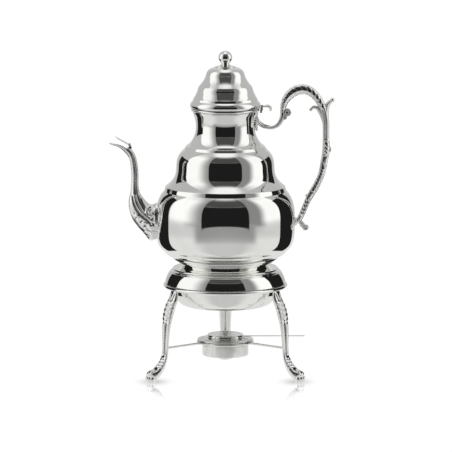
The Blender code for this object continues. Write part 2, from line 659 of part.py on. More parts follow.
def make_hinge():
    inner = LID_KNUCKLE_WIDTH / 2
    outer = HINGE_WIDTH / 2
    bore = PIN_RADIUS + GAP
    near = MOUTH_RADIUS + MOUTH_RING_OUT + GAP

    leaf_top = hinge_z - KNUCKLE_RADIUS - GAP
    body_leaf = block("hinge_body_leaf", (near, -outer, leaf_top - 0.0022),
                      (hinge_x + 0.0008, outer, leaf_top))
    for side in (-1, 1):
        knuckle = rod("body_knuckle", (hinge_x, side * (inner + GAP), hinge_z),
                      (hinge_x, side * outer, hinge_z), KNUCKLE_RADIUS, 12)
        low_y, high_y = sorted((side * (inner + GAP), side * outer))
        web = block("body_web", (hinge_x - 0.0010, low_y, leaf_top - 0.0010),
                    (hinge_x + 0.0008, high_y, hinge_z))
        join(body_leaf, knuckle, web)
    cut(body_leaf, rod("body_knuckle_bore", (hinge_x, -outer * 2, hinge_z),
                       (hinge_x, outer * 2, hinge_z), bore, 12))
    settle(body_leaf, pot_frame, CAST_SILVER, 0.2)

    settle(rod("hinge_pin", (hinge_x, -outer - 0.0005, hinge_z), (hinge_x, outer + 0.0005, hinge_z),
               PIN_RADIUS, 12), pot_frame, SILVER)

    riser_x = max(lid_radius + GAP, hinge_x - 0.0006)
    riser_top = lid_z + LID_RISE * 0.07
    lid_leaf = rod("hinge_lid_leaf", (hinge_x, -inner, hinge_z), (hinge_x, inner, hinge_z),
                   KNUCKLE_RADIUS, 12)
    join(lid_leaf, block("riser", (riser_x, -inner, hinge_z), (hinge_x + 0.0013, inner, riser_top)))
    cut(lid_leaf, rod("lid_knuckle_bore", (hinge_x, -outer, hinge_z), (hinge_x, outer, hinge_z), bore, 12))
    settle(lid_leaf, lid_frame, CAST_SILVER, 0.2)

    # The thumb piece starts outside the riser and hooks down at its tip.
    start_x = hinge_x + 0.0013 + GAP
    tip_x = hinge_x + THUMB_REACH
    thumb_z = hinge_z + KNUCKLE_RADIUS + GAP + THUMB_THICKNESS / 2
    half = THUMB_THICKNESS / 2
    stations = [(between(start_x, tip_x, along), thumb_z + rise, half, THUMB_WIDTH * wide)
                for along, rise, wide in ((0.0, 0.0, 0.25), (0.40, 0.0005, 0.38), (0.80, 0.0002, 0.50))]
    stations += [(tip_x - half * 0.4, thumb_z - 0.0016, half, THUMB_WIDTH * 0.46),
                 (tip_x - half * 0.3, thumb_z - 0.0050, half * 0.6, THUMB_WIDTH * 0.30)]
    thumb = loft("thumb_piece", stations, 10)
    settle(thumb, lid_frame, CAST_SILVER, 0.2)


# Warmer

def make_stand():
    dome_low = STAND_RIM_HEIGHT + BEAD_RADIUS + GAP
    dome = [(SEAT_RADIUS, seat_z), (SEAT_RADIUS, seat_z - 0.0011)]
    dome += course([(0.10, 0.92), (0.32, 0.83), (0.50, 0.75), (0.56, 0.70), (0.62, 0.70), (0.70, 0.60),
                    (0.76, 0.57), (0.85, 0.43), (0.93, 0.25), (0.98, 0.08), (1, 0)],
                   (SEAT_RADIUS, DOME_RADIUS), (dome_low, seat_z))
    collar, skirt = parted(dome, between(dome_low, seat_z, 0.79))
    settle(shell("stand_collar", collar), pot_axis, SILVER, 0.06)
    settle(shell("stand_dome", skirt), pot_axis, SILVER, 0.06)

    bead_center = (DOME_RADIUS - 0.0009, STAND_RIM_HEIGHT)
    bead = arc(bead_center, BEAD_RADIUS, 90, -225, 7)
    settle(turned("stand_rim_bead", bead, closed=True), pot_axis, SILVER, 0.06)

    flange = bead_center[0] - BEAD_RADIUS - GAP
    bowl_z = STAND_RIM_HEIGHT - BOWL_DEPTH
    low = (bowl_z, STAND_RIM_HEIGHT)
    bowl = [(flange, STAND_RIM_HEIGHT - 0.0008)]
    bowl += course([(0.4, 0.935), (0, 0.87)], (BOWL_RADIUS, flange), low)
    bowl += course([(0.965, 0.67), (0.90, 0.42), (0.80, 0.22), (0.62, 0.07), (0.40, 0.012), (0, 0)],
                   (FLAME_OPENING, BOWL_RADIUS), low)
    side, floor = parted(bowl, between(*low, 0.32))
    settle(shell("stand_bowl", side), pot_axis, SILVER, 0.06)
    settle(shell("stand_bowl_floor", floor), pot_axis, SILVER, 0.06)


def leg_stations():
    # (radius, height, half thickness, half width), from under the bead to the foot.
    top = (DOME_RADIUS - 0.0036, STAND_RIM_HEIGHT - BEAD_RADIUS - 0.0010)
    foot = (FOOT_REACH - FOOT_SIZE, FOOT_SIZE * 0.85)
    return [(between(top[0], foot[0], out), between(foot[1], top[1], up), thick, wide)
            for out, up, thick, wide in (
                (0.00, 1.00, 0.0030, 0.0064), (0.06, 0.93, 0.0034, 0.0074), (0.20, 0.83, 0.0036, 0.0077),
                (0.32, 0.71, 0.0032, 0.0074), (0.40, 0.55, 0.0026, 0.0068), (0.44, 0.38, 0.0023, 0.0060),
                (0.48, 0.25, 0.0023, 0.0057), (0.57, 0.16, 0.0031, 0.0060), (0.74, 0.08, 0.0042, 0.0065),
                (0.95, 0.01, 0.0052, 0.0066))]


def make_legs():
    foot_x = FOOT_REACH - FOOT_SIZE
    for name, angle in LEG_ANGLES.items():
        leg = loft(name, leg_stations(), 10)
        toe = ball("toe_" + name, (0, 0, 0), FOOT_SIZE, 14)
        moved(toe, Matrix.Translation((foot_x, 0, FOOT_SIZE * 0.92)))
        pad = rod("pad_" + name, (foot_x, 0, 0), (foot_x, 0, FOOT_SIZE * 0.8), FOOT_SIZE * 0.72, 14)
        floor = block("floor_" + name, (foot_x - 0.03, -0.03, -0.03), (foot_x + 0.03, 0.03, 0.0))
        join(leg, toe, pad)
        cut(leg, floor)
        turn = Matrix.Rotation(radians(angle), 4, "Z")
        for obj in [leg] + [modifier.object for modifier in leg.modifiers]:
            moved(obj, turn)
        settle(leg, pot_axis, CAST_SILVER, 0.25)


def make_burner_ring():
    # A ring on three struts that carries the burner by its flange.
    ring_low = can_top_z - RING_HEIGHT
    bore = CAN_RADIUS + RING_CLEARANCE
    ring_out = FLANGE_RADIUS + 0.0004
    edge = 0.0006
    ring = [(ring_out - edge, can_top_z), (ring_out, can_top_z - edge), (ring_out, ring_low + edge),
            (ring_out - edge, ring_low), (bore, ring_low), (bore, can_top_z)]
    settle(turned("burner_ring", ring, closed=True), pot_axis, SILVER)
    start_z = can_top_z - RING_HEIGHT / 2
    end_z = start_z - 0.0015
    leg_inside = [(radius - thick, height) for radius, height, thick, _ in leg_stations()]
    for name, angle in LEG_ANGLES.items():
        turn = Matrix.Rotation(radians(angle), 4, "Z")
        end = radius_at(leg_inside, end_z) - 2 * GAP
        strut = rod(name.replace("leg", "strut"), (ring_out + 2 * GAP, 0, start_z), (end, 0, end_z),
                    STRUT_RADIUS, 10)
        settle(moved(strut, turn), pot_axis, SILVER)


def make_burner():
    corner = 0.0030
    can = [(CAN_RADIUS, can_top_z)]
    can += arc((CAN_RADIUS - corner, CAN_UNDERSIDE + corner), corner, 0, -90, 3)
    can += [(0.0, CAN_UNDERSIDE)]
    settle(shell("burner_can", can, CAN_WALL), burner_frame, SILVER, 0.15)

    step = CAN_RADIUS + 0.0020
    flange_top = cover_z + 0.0015
    cover_top = flange_top + 0.0012
    hole = WICK_RADIUS + HOLDER_WALL + 3 * GAP
    cover = [(step - 0.0008, cover_top), (step, cover_top - 0.0005), (step, flange_top),
             (FLANGE_RADIUS, flange_top), (FLANGE_RADIUS, cover_z), (hole, cover_z), (hole, cover_top)]
    settle(turned("burner_cover", cover, closed=True), burner_frame, SILVER, 0.15)

    holder_out = WICK_RADIUS + HOLDER_WALL + GAP
    holder_in = WICK_RADIUS + GAP
    holder_top = cover_top + 0.0018
    holder = [(holder_out, holder_top), (holder_out, cover_top + GAP + 0.0008),
              (holder_out + 0.0026, cover_top + GAP + 0.0008), (holder_out + 0.0026, cover_top + GAP),
              (holder_out, cover_top + GAP), (holder_out, cover_z - 0.0070), (holder_in, cover_z - 0.0070),
              (holder_in, holder_top)]
    settle(turned("wick_holder", holder, closed=True, sides=SMALL_ROUND), burner_frame, BRASS, 0.3)

    wick_top = holder_top + 0.0006
    wick = [(0.0, wick_top), (WICK_RADIUS * 0.8, wick_top), (WICK_RADIUS, wick_top - 0.0006),
            (WICK_RADIUS, CAN_UNDERSIDE + CAN_WALL + 0.0012), (0.0, CAN_UNDERSIDE + CAN_WALL + 0.0012)]
    settle(turned("wick", wick, sides=14), burner_frame, COTTON, 0.9, 0.0)

    # The snuffer is a cap over the wick with a rim that stands out over its skirt.
    skirt = SNUFFER_RADIUS - 0.0025
    recess = skirt - 0.0030
    cap_low = cover_top + GAP
    rim_low = cap_low + 0.0010
    cap_top = rim_low + 0.0034
    recess_top = wick_top + 0.0006
    cap = [(0.0, cap_top), (SNUFFER_RADIUS - 0.0060, cap_top - 0.0002),
           (SNUFFER_RADIUS - 0.0008, cap_top - 0.0010), (SNUFFER_RADIUS, cap_top - 0.0018),
           (SNUFFER_RADIUS, rim_low), (skirt, rim_low), (skirt, cap_low),
           (recess, cap_low), (recess, recess_top), (0.0, recess_top)]
    settle(turned("snuffer_cap", cap), snuffer_frame, SILVER, 0.12)

    start = SNUFFER_RADIUS + GAP
    length = SNUFFER_REACH - start
    near_half, far_half = 0.0030, 0.0014
    edge = [(0.0, near_half), (0.25, near_half * 0.8), (0.35, far_half), (0.97, far_half)]
    outline = [(start + length * along, -half) for along, half in edge]
    outline += [(SNUFFER_REACH, 0.0)]
    outline += [(x, -y) for x, y in reversed(outline[:-1])]
    handle = plate("snuffer_handle", outline, 0.0010)
    moved(handle, Matrix.Translation((0, 0, rim_low + 0.0007)))
    settle(handle, snuffer_frame, SILVER, 0.15)


make_pot()
make_spout()
make_handle()
make_lid()
make_hinge()
make_stand()
make_legs()
make_burner_ring()
make_burner()
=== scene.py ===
from math import cos, pi, radians, sin

import bmesh
import bpy
import numpy as np
from mathutils import Matrix, Vector


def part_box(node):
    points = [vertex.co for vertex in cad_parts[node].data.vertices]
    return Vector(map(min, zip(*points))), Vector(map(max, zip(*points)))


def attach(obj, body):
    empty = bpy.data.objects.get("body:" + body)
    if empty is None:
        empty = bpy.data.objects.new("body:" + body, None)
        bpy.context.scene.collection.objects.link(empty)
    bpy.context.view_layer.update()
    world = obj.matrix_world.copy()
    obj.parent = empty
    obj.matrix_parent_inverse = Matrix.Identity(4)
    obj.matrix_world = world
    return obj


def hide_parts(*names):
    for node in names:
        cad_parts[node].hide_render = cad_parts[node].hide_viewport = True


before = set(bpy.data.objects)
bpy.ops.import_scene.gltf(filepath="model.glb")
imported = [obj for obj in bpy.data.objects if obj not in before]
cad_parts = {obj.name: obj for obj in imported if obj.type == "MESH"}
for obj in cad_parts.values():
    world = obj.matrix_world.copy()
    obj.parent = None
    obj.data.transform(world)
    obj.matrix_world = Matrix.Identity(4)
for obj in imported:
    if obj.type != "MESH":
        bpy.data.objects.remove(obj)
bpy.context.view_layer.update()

# Everything below is drawn in millimetres about the pot's own axis, with heights above the table.
mm = 0.001
clearance = 0.3  # room between pieces that fit in each other
bodyLow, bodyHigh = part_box("pot_body")
axis = Vector(((bodyLow.x + bodyHigh.x) / 2, (bodyLow.y + bodyHigh.y) / 2, 0.0))
bodyBase = bodyLow.z / mm  # underside of the pot's body


def heights(node):
    # A node's lower and upper end, above the table
    low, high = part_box(node)
    return low.z / mm, high.z / mm


def halfWidth(node):
    low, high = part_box(node)
    return (high.x - low.x) / 2 / mm


def reachX(node):
    # A node's two ends along X, from the pot's axis
    low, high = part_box(node)
    return (low.x - axis.x) / mm, (high.x - axis.x) / mm


# Node helpers

def feed(tree, socket, value):
    # Links a socket or a node's first output, or sets a plain value.
    if isinstance(value, bpy.types.Node):
        value = value.outputs[0]
    if isinstance(value, bpy.types.NodeSocket):
        tree.links.new(value, socket)
    elif value is not None:
        socket.default_value = value


def add(tree, kind, *values, **settings):
    # Adds a node, with its settings first and then its inputs in their order.
    made = tree.nodes.new(kind)
    for key, value in settings.items():
        setattr(made, key, value)
    for socket, value in zip(made.inputs, values):
        feed(tree, socket, value)
    return made


def maths(tree, operation, *values):
    return add(tree, "ShaderNodeMath", *values, operation=operation).outputs[0]


def newTree(name, kind, inputs, outputs):
    # Sockets are (name, type, default or None).
    tree = bpy.data.node_groups.new(name, kind)
    for way, sockets in (("INPUT", inputs), ("OUTPUT", outputs)):
        for label, socketType, default in sockets:
            made = tree.interface.new_socket(label, in_out=way, socket_type="NodeSocket" + socketType)
            if default is not None:
                made.default_value = default
    return tree, tree.nodes.new("NodeGroupInput").outputs, tree.nodes.new("NodeGroupOutput").inputs


def useTree(obj, tree, **values):
    # Puts a geometry tree on an object; words in an input's name are run together in the call.
    modifier = obj.modifiers.new(tree.name, "NODES")
    modifier.node_group = tree
    for item in tree.interface.items_tree:
        key = item.name.replace(" ", "")
        key = key[0].lower() + key[1:]
        if item.in_out == "INPUT" and key in values:
            modifier[item.identifier] = values[key]
    return obj


# Outlines and curves

def fairCurve(points, spacing, places=2):
    # A natural cubic spline through all the points; the first columns are places, the rest go along.
    points = np.array(points, float)
    if len(points) < 3:
        return points
    reach = np.linalg.norm(np.diff(points[:, :places], axis=0), axis=1)
    at = np.concatenate([[0.0], np.cumsum(reach)])
    count = len(points)
    matrix = np.eye(count)
    right = np.zeros_like(points)
    for i in range(1, count - 1):
        before, after = reach[i - 1], reach[i]
        matrix[i, i - 1:i + 2] = before / 6, (before + after) / 3, after / 6
        right[i] = (points[i + 1] - points[i]) / after - (points[i] - points[i - 1]) / before
    bend = np.linalg.solve(matrix, right)
    wanted = np.linspace(0.0, at[-1], max(3, int(at[-1] / spacing) + 2))
    span = np.clip(np.searchsorted(at, wanted, side="right") - 1, 0, count - 2)
    h = reach[span][:, None]
    a = (at[span + 1] - wanted)[:, None] / h
    b = 1 - a
    curve = a * points[span] + b * points[span + 1]
    return curve + ((a ** 3 - a) * bend[span] + (b ** 3 - b) * bend[span + 1]) * h * h / 6


def outline(*courses, spacing=1.0, fillet=0.35):
    # Joins smooth courses; the corners where they meet get a small round.
    points = []
    for course in courses:
        for point in fairCurve(course, spacing):
            if not points or np.linalg.norm(point - points[-1]) > 0.02:
                points.append(point)
    rounded = [points[0]]
    for before, corner, after in zip(points, points[1:], points[2:]):
        toBefore, toAfter = before - corner, after - corner
        far = min(np.linalg.norm(toBefore), np.linalg.norm(toAfter)) * 0.45
        turn = np.dot(toBefore, toAfter) / (np.linalg.norm(toBefore) * np.linalg.norm(toAfter))
        if turn < cos(radians(162)):
            rounded.append(corner)
            continue
        reach = min(fillet, far)
        start = corner + toBefore / np.linalg.norm(toBefore) * reach
        end = corner + toAfter / np.linalg.norm(toAfter) * reach
        for t in (0.0, 0.25, 0.5, 0.75, 1.0):
            rounded.append(start * (1 - t) ** 2 + corner * 2 * t * (1 - t) + end * t * t)
    rounded.append(points[-1])
    return np.array(rounded)


def arc(centre, radius, start, end, steps=12):
    # From start to end in degrees, 0 pointing outwards and 90 up.
    turns = [radians(start + (end - start) * step / steps) for step in range(steps + 1)]
    return [(centre[0] + radius * cos(a), centre[1] + radius * sin(a)) for a in turns]


def walled(points, wall, spacing=2.5):
    # Adds the inner side of a sheet of metal to its outer side.
    outer = np.array(points)
    along = np.gradient(outer, axis=0)
    along /= np.linalg.norm(along, axis=1)[:, None]
    inner = outer + np.stack([along[:, 1], -along[:, 0]], axis=1) * wall
    gaps = np.linalg.norm(inner[:, None, :] - outer[None, :, :], axis=2).min(axis=1)
    kept = [inner[0]]
    for point, gap in zip(inner[1:-1], gaps[1:-1]):
        if gap > wall * 0.97 and point[0] > 0 and np.linalg.norm(point - kept[-1]) > spacing:
            kept.append(point)
    kept.append((max(inner[-1][0], 0.0), inner[-1][1]))
    return np.concatenate([outer, np.array(kept)[::-1]])


# Meshes

def tidyMesh(mesh, sharp=38.0):
    # Merges doubles, turns the faces outwards and shades smoothly up to the sharp edges.
    bm = bmesh.new()
    bm.from_mesh(mesh)
    bmesh.ops.remove_doubles(bm, verts=bm.verts, dist=0.002 * mm)
    bmesh.ops.dissolve_degenerate(bm, edges=bm.edges, dist=0.001 * mm)
    bmesh.ops.recalc_face_normals(bm, faces=bm.faces)
    bm.to_mesh(mesh)
    bm.free()
    mesh.shade_smooth()
    mesh.set_sharp_from_angle(angle=radians(sharp))
    return mesh


def newObject(name, mesh):
    obj = bpy.data.objects.new(name, mesh)
    bpy.context.scene.collection.objects.link(obj)
    return obj


def settled(obj, material):
    # Applies the object's modifiers, with its own material in the only slot.
    bpy.context.view_layer.update()
    graph = bpy.context.evaluated_depsgraph_get()
    mesh = bpy.data.meshes.new_from_object(obj.evaluated_get(graph), depsgraph=graph)
    obj.modifiers.clear()
    obj.data = mesh
    mesh.name = obj.name
    mesh.materials.clear()
    mesh.materials.append(material)
    return obj


def declared(obj, body, slotName, *nodes):
    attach(obj, body)
    if nodes:
        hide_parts(*nodes)
    return obj


def markInside(obj, up=0, base=None):
    # Marks the inner side of a vessel: what faces its axis, and what faces up or down inside it.
    mesh = obj.data
    places = np.zeros(len(mesh.vertices) * 3)
    facing = np.zeros(len(mesh.vertices) * 3)
    mesh.vertices.foreach_get("co", places)
    mesh.vertices.foreach_get("normal", facing)
    places = places.reshape(-1, 3) - np.array(axis)
    facing = facing.reshape(-1, 3)
    radius = np.maximum(np.hypot(places[:, 0], places[:, 1]), 1e-6)
    outward = (places[:, 0] * facing[:, 0] + places[:, 1] * facing[:, 1]) / radius
    inside = (outward < -0.08) | (facing[:, 2] * up > 0.35)
    if base is not None:
        inside |= (facing[:, 2] > 0.9) & (places[:, 2] < base * mm)
    mark = mesh.attributes.new("inside", "FLOAT", "POINT")
    mark.data.foreach_set("value", inside.astype(float))
    return obj


def turnedTree():
    # A profile of ordered points in the XZ plane is turned about Z into one closed skin.
    tree, given, out = newTree(
        "turnedForm", "GeometryNodeTree",
        [("Profile", "Geometry", None), ("Segments", "Int", 96), ("Flutes", "Int", 0),
         ("Flute Depth", "Float", 0.0), ("Centre", "Vector", None), ("Material", "Material", None)],
        [("Geometry", "Geometry", None)])
    count = add(tree, "GeometryNodeAttributeDomainSize", given["Profile"]).outputs["Point Count"]
    columns = maths(tree, "ADD", given["Segments"], 1.0)
    grid = add(tree, "GeometryNodeMeshGrid", 1.0, 1.0, columns, count)
    place = add(tree, "GeometryNodeInputPosition")
    across = add(tree, "ShaderNodeSeparateXYZ", place)
    turn = maths(tree, "MULTIPLY", maths(tree, "ADD", across.outputs["X"], 0.5), 2 * pi)
    row = maths(tree, "MULTIPLY", maths(tree, "ADD", across.outputs["Y"], 0.5),
                maths(tree, "SUBTRACT", count, 1.0))
    sample = add(tree, "GeometryNodeSampleIndex", data_type="FLOAT_VECTOR", domain="POINT")
    feed(tree, sample.inputs["Geometry"], given["Profile"])
    feed(tree, sample.inputs["Value"], place)
    feed(tree, sample.inputs["Index"], maths(tree, "ROUND", row))
    ripple = maths(tree, "COSINE", maths(tree, "MULTIPLY", turn, given["Flutes"]))
    swell = maths(tree, "MULTIPLY_ADD", ripple, given["Flute Depth"], 1.0)
    fluted = add(tree, "ShaderNodeVectorMath", sample, operation="MULTIPLY")
    feed(tree, fluted.inputs[1], add(tree, "ShaderNodeCombineXYZ", swell, swell, 1.0))
    turned = add(tree, "ShaderNodeVectorRotate", fluted, rotation_type="Z_AXIS")
    feed(tree, turned.inputs["Angle"], turn)
    moved = add(tree, "ShaderNodeVectorMath", turned, given["Centre"], operation="ADD")
    skin = add(tree, "GeometryNodeSetPosition", grid)
    feed(tree, skin.inputs["Position"], moved)
    closed = add(tree, "GeometryNodeMergeByDistance", skin)
    closed.inputs["Distance"].default_value = 0.001 * mm
    whole = add(tree, "GeometryNodeRealizeInstances", closed)
    finished = add(tree, "GeometryNodeSetMaterial", whole)
    feed(tree, finished.inputs["Material"], given["Material"])
    feed(tree, out["Geometry"], finished)
    return tree


def turned(name, profile, material, segments=160, sharp=38.0, **values):
    mesh = bpy.data.meshes.new(name)
    corners = [(r * mm, 0.0, z * mm) for r, z in profile]
    mesh.from_pydata(corners, [(i, i + 1) for i in range(len(corners) - 1)], [])
    obj = newObject(name, mesh)
    useTree(obj, turnForm, segments=segments, centre=axis, material=material, **values)
    settled(obj, material)
    tidyMesh(obj.data, sharp)
    return obj


turnForm = turnedTree()
print("geometry tree built")


# Finishes

def polishTree():
    # Fine marks of polishing and faint smears of handling.
    tree, given, out = newTree(
        "polishMarks", "ShaderNodeTree",
        [("Vector", "Vector", None), ("Smear Scale", "Float", 30.0), ("Hairline Scale", "Float", 900.0),
         ("Waves", "Float", 18.0)],
        [("Smears", "Float", None), ("Hairlines", "Float", None), ("Undulation", "Float", None)])
    smear = add(tree, "ShaderNodeTexNoise", given["Vector"])
    feed(tree, smear.inputs["Scale"], given["Smear Scale"])
    smear.inputs["Detail"].default_value = 6.0
    smear.inputs["Distortion"].default_value = 0.6
    spread = add(tree, "ShaderNodeMapRange", smear.outputs["Fac"], 0.42, 0.72)
    stretched = add(tree, "ShaderNodeVectorMath", given["Vector"], (0.15, 0.15, 1.0), operation="MULTIPLY")
    hair = add(tree, "ShaderNodeTexNoise", stretched)
    feed(tree, hair.inputs["Scale"], given["Hairline Scale"])
    hair.inputs["Detail"].default_value = 3.0
    wave = add(tree, "ShaderNodeTexNoise", given["Vector"])
    feed(tree, wave.inputs["Scale"], given["Waves"])
    wave.inputs["Detail"].default_value = 1.0
    feed(tree, out["Smears"], spread)
    feed(tree, out["Hairlines"], hair.outputs["Fac"])
    feed(tree, out["Undulation"], wave.outputs["Fac"])
    return tree


def tarnishAndShadeTree():
    # Silver that has dulled in its hollows and been rubbed bright on its high places; the dark in the hollows
    # is partly tarnish and partly painted shade.
    tree, given, out = newTree(
        "tarnishInHollows", "ShaderNodeTree",
        [("Vector", "Vector", None), ("Relief", "Float", 0.5), ("Bright", "Color", (0.93, 0.93, 0.91, 1.0)),
         ("Dull", "Color", (0.16, 0.155, 0.14, 1.0)), ("Amount", "Float", 0.8), ("Grain", "Float", 700.0)],
        [("Color", "Color", None), ("Hollow", "Float", None), ("Pitting", "Float", None)])
    patchy = add(tree, "ShaderNodeTexNoise", given["Vector"])
    feed(tree, patchy.inputs["Scale"], 140.0)
    patchy.inputs["Detail"].default_value = 4.0
    depth = add(tree, "ShaderNodeMapRange", given["Relief"], 0.40, 0.05)
    uneven = add(tree, "ShaderNodeMapRange", patchy.outputs["Fac"], 0.3, 0.7, 0.55, 1.0)
    hollow = maths(tree, "MULTIPLY", maths(tree, "MULTIPLY", depth, uneven), given["Amount"])
    # The dark colour mixed in here is painted shade in the recesses as well as tarnish.
    mix = add(tree, "ShaderNodeMix", data_type="RGBA")
    feed(tree, mix.inputs["Factor"], hollow)
    tree.links.new(given["Bright"], mix.inputs[6])
    tree.links.new(given["Dull"], mix.inputs[7])
    pits = add(tree, "ShaderNodeTexNoise", given["Vector"])
    feed(tree, pits.inputs["Scale"], given["Grain"])
    pits.inputs["Detail"].default_value = 3.0
    feed(tree, out["Color"], mix.outputs[2])
    feed(tree, out["Hollow"], hollow)
    feed(tree, out["Pitting"], pits.outputs["Fac"])
    return tree


polishMarks = polishTree()
tarnishInHollows = tarnishAndShadeTree()


def newMaterial(name, metallic=1.0):
    material = bpy.data.materials.new(name)
    material.use_nodes = True
    tree = material.node_tree
    shader = tree.nodes["Principled BSDF"]
    shader.inputs["Metallic"].default_value = metallic
    where = add(tree, "ShaderNodeTexCoord").outputs["Object"]
    return material, tree, shader, where


def useGroup(tree, group, **values):
    made = tree.nodes.new("ShaderNodeGroup")
    made.node_tree = group
    for socket in made.inputs:
        key = socket.name.replace(" ", "")
        key = key[0].lower() + key[1:]
        if key in values:
            feed(tree, socket, values[key])
    return made.outputs


def mixed(tree, factor, low, high):
    mix = add(tree, "ShaderNodeMix", data_type="RGBA")
    feed(tree, mix.inputs["Factor"], factor)
    feed(tree, mix.inputs[6], low)
    feed(tree, mix.inputs[7], high)
    return mix.outputs[2]


def bumped(tree, height, distance, strength=1.0, below=None):
    bump = add(tree, "ShaderNodeBump")
    bump.inputs["Strength"].default_value = strength
    bump.inputs["Distance"].default_value = distance
    feed(tree, bump.inputs["Height"], height)
    feed(tree, bump.inputs["Normal"], below)
    return bump.outputs["Normal"]


def polishedSilver(name, smooth=0.018, smeared=0.055, tone=(0.93, 0.93, 0.905)):
    material, tree, shader, where = newMaterial(name)
    marks = useGroup(tree, polishMarks, vector=where)
    dim = tuple(c * 0.93 for c in tone)
    feed(tree, shader.inputs["Base Color"], mixed(tree, marks["Smears"], (*tone, 1.0), (*dim, 1.0)))
    rough = add(tree, "ShaderNodeMapRange", marks["Smears"], 0.0, 1.0, smooth, smeared)
    # The inside was never buffed.
    inside = add(tree, "ShaderNodeAttribute", attribute_name="inside").outputs["Fac"]
    feed(tree, shader.inputs["Roughness"], maths(tree, "MULTIPLY_ADD", inside, 0.30, rough))
    low = bumped(tree, marks["Undulation"], 0.00006)
    feed(tree, shader.inputs["Normal"], bumped(tree, marks["Hairlines"], 0.0000012, below=low))
    return material


def plainSilver(name, smooth=0.20, smeared=0.30, tone=(0.90, 0.90, 0.875)):
    # Turned and machined pieces keep fine rings round the pot's axis.
    material, tree, shader, where = newMaterial(name)
    marks = useGroup(tree, polishMarks, vector=where, smearScale=60.0)
    dim = tuple(c * 0.86 for c in tone)
    feed(tree, shader.inputs["Base Color"], mixed(tree, marks["Smears"], (*tone, 1.0), (*dim, 1.0)))
    feed(tree, shader.inputs["Roughness"],
         add(tree, "ShaderNodeMapRange", marks["Smears"], 0.0, 1.0, smooth, smeared))
    centred = add(tree, "ShaderNodeVectorMath", where, tuple(axis), operation="SUBTRACT")
    rings = add(tree, "ShaderNodeTexWave", centred, wave_type="RINGS", rings_direction="Z")
    rings.inputs["Scale"].default_value = 420.0
    rings.inputs["Distortion"].default_value = 1.5
    rings.inputs["Detail"].default_value = 2.0
    feed(tree, shader.inputs["Normal"], bumped(tree, rings.outputs["Fac"], 0.000004))
    return material


def castSilver(name, amount=0.7, smooth=0.09, rough=0.30):
    material, tree, shader, where = newMaterial(name)
    relief = add(tree, "ShaderNodeAttribute", attribute_name="relief").outputs["Fac"]
    # Low relief takes a dark colour: part tarnish, part painted shade.
    wornAndShaded = useGroup(tree, tarnishInHollows, vector=where, relief=relief, amount=amount)
    marks = useGroup(tree, polishMarks, vector=where, smearScale=90.0)
    feed(tree, shader.inputs["Base Color"], wornAndShaded["Color"])
    base = add(tree, "ShaderNodeMapRange", marks["Smears"], 0.0, 1.0, smooth, smooth * 1.6)
    dull = maths(tree, "MULTIPLY", wornAndShaded["Hollow"], rough - smooth)
    feed(tree, shader.inputs["Roughness"], maths(tree, "ADD", base, dull))
    feed(tree, shader.inputs["Normal"], bumped(tree, wornAndShaded["Pitting"], 0.000012))
    return material


def agedBrass(name):
    material, tree, shader, where = newMaterial(name)
    marks = useGroup(tree, polishMarks, vector=where, smearScale=160.0)
    feed(tree, shader.inputs["Base Color"],
         mixed(tree, marks["Smears"], (0.74, 0.55, 0.27, 1.0), (0.42, 0.29, 0.13, 1.0)))
    feed(tree, shader.inputs["Roughness"],
         add(tree, "ShaderNodeMapRange", marks["Smears"], 0.0, 1.0, 0.20, 0.45))
    feed(tree, shader.inputs["Normal"], bumped(tree, marks["Hairlines"], 0.000008))
    return material


def cottonWick(name):
    material, tree, shader, where = newMaterial(name, 0.0)
    fibres = add(tree, "ShaderNodeTexNoise", where)
    fibres.inputs["Scale"].default_value = 1500.0
    fibres.inputs["Detail"].default_value = 4.0
    feed(tree, shader.inputs["Base Color"],
         mixed(tree, fibres.outputs["Fac"], (0.62, 0.57, 0.46, 1.0), (0.86, 0.83, 0.75, 1.0)))
    feed(tree, shader.inputs["Roughness"],
         add(tree, "ShaderNodeMapRange", fibres.outputs["Fac"], 0.0, 1.0, 0.85, 0.97))
    feed(tree, shader.inputs["Normal"], bumped(tree, fibres.outputs["Fac"], 0.0002))
    return material


silver = polishedSilver("polishedSilver")
warmerSilver = polishedSilver("warmerSilver", smeared=0.065)
machinedSilver = plainSilver("machinedSilver")
chasedSilver = castSilver("chasedSilver", amount=0.55, smooth=0.14)
# The legs take more of the dark colour in their hollows: painted shade between the toes as well as tarnish.
legSilver = castSilver("legSilver", amount=0.8, smooth=0.13, rough=0.34)
spoutSilver = castSilver("spoutSilver", amount=0.30, smooth=0.21, rough=0.30)
brass = agedBrass("agedBrass")
cotton = cottonWick("cottonWick")
print("finishes built")


# Pot

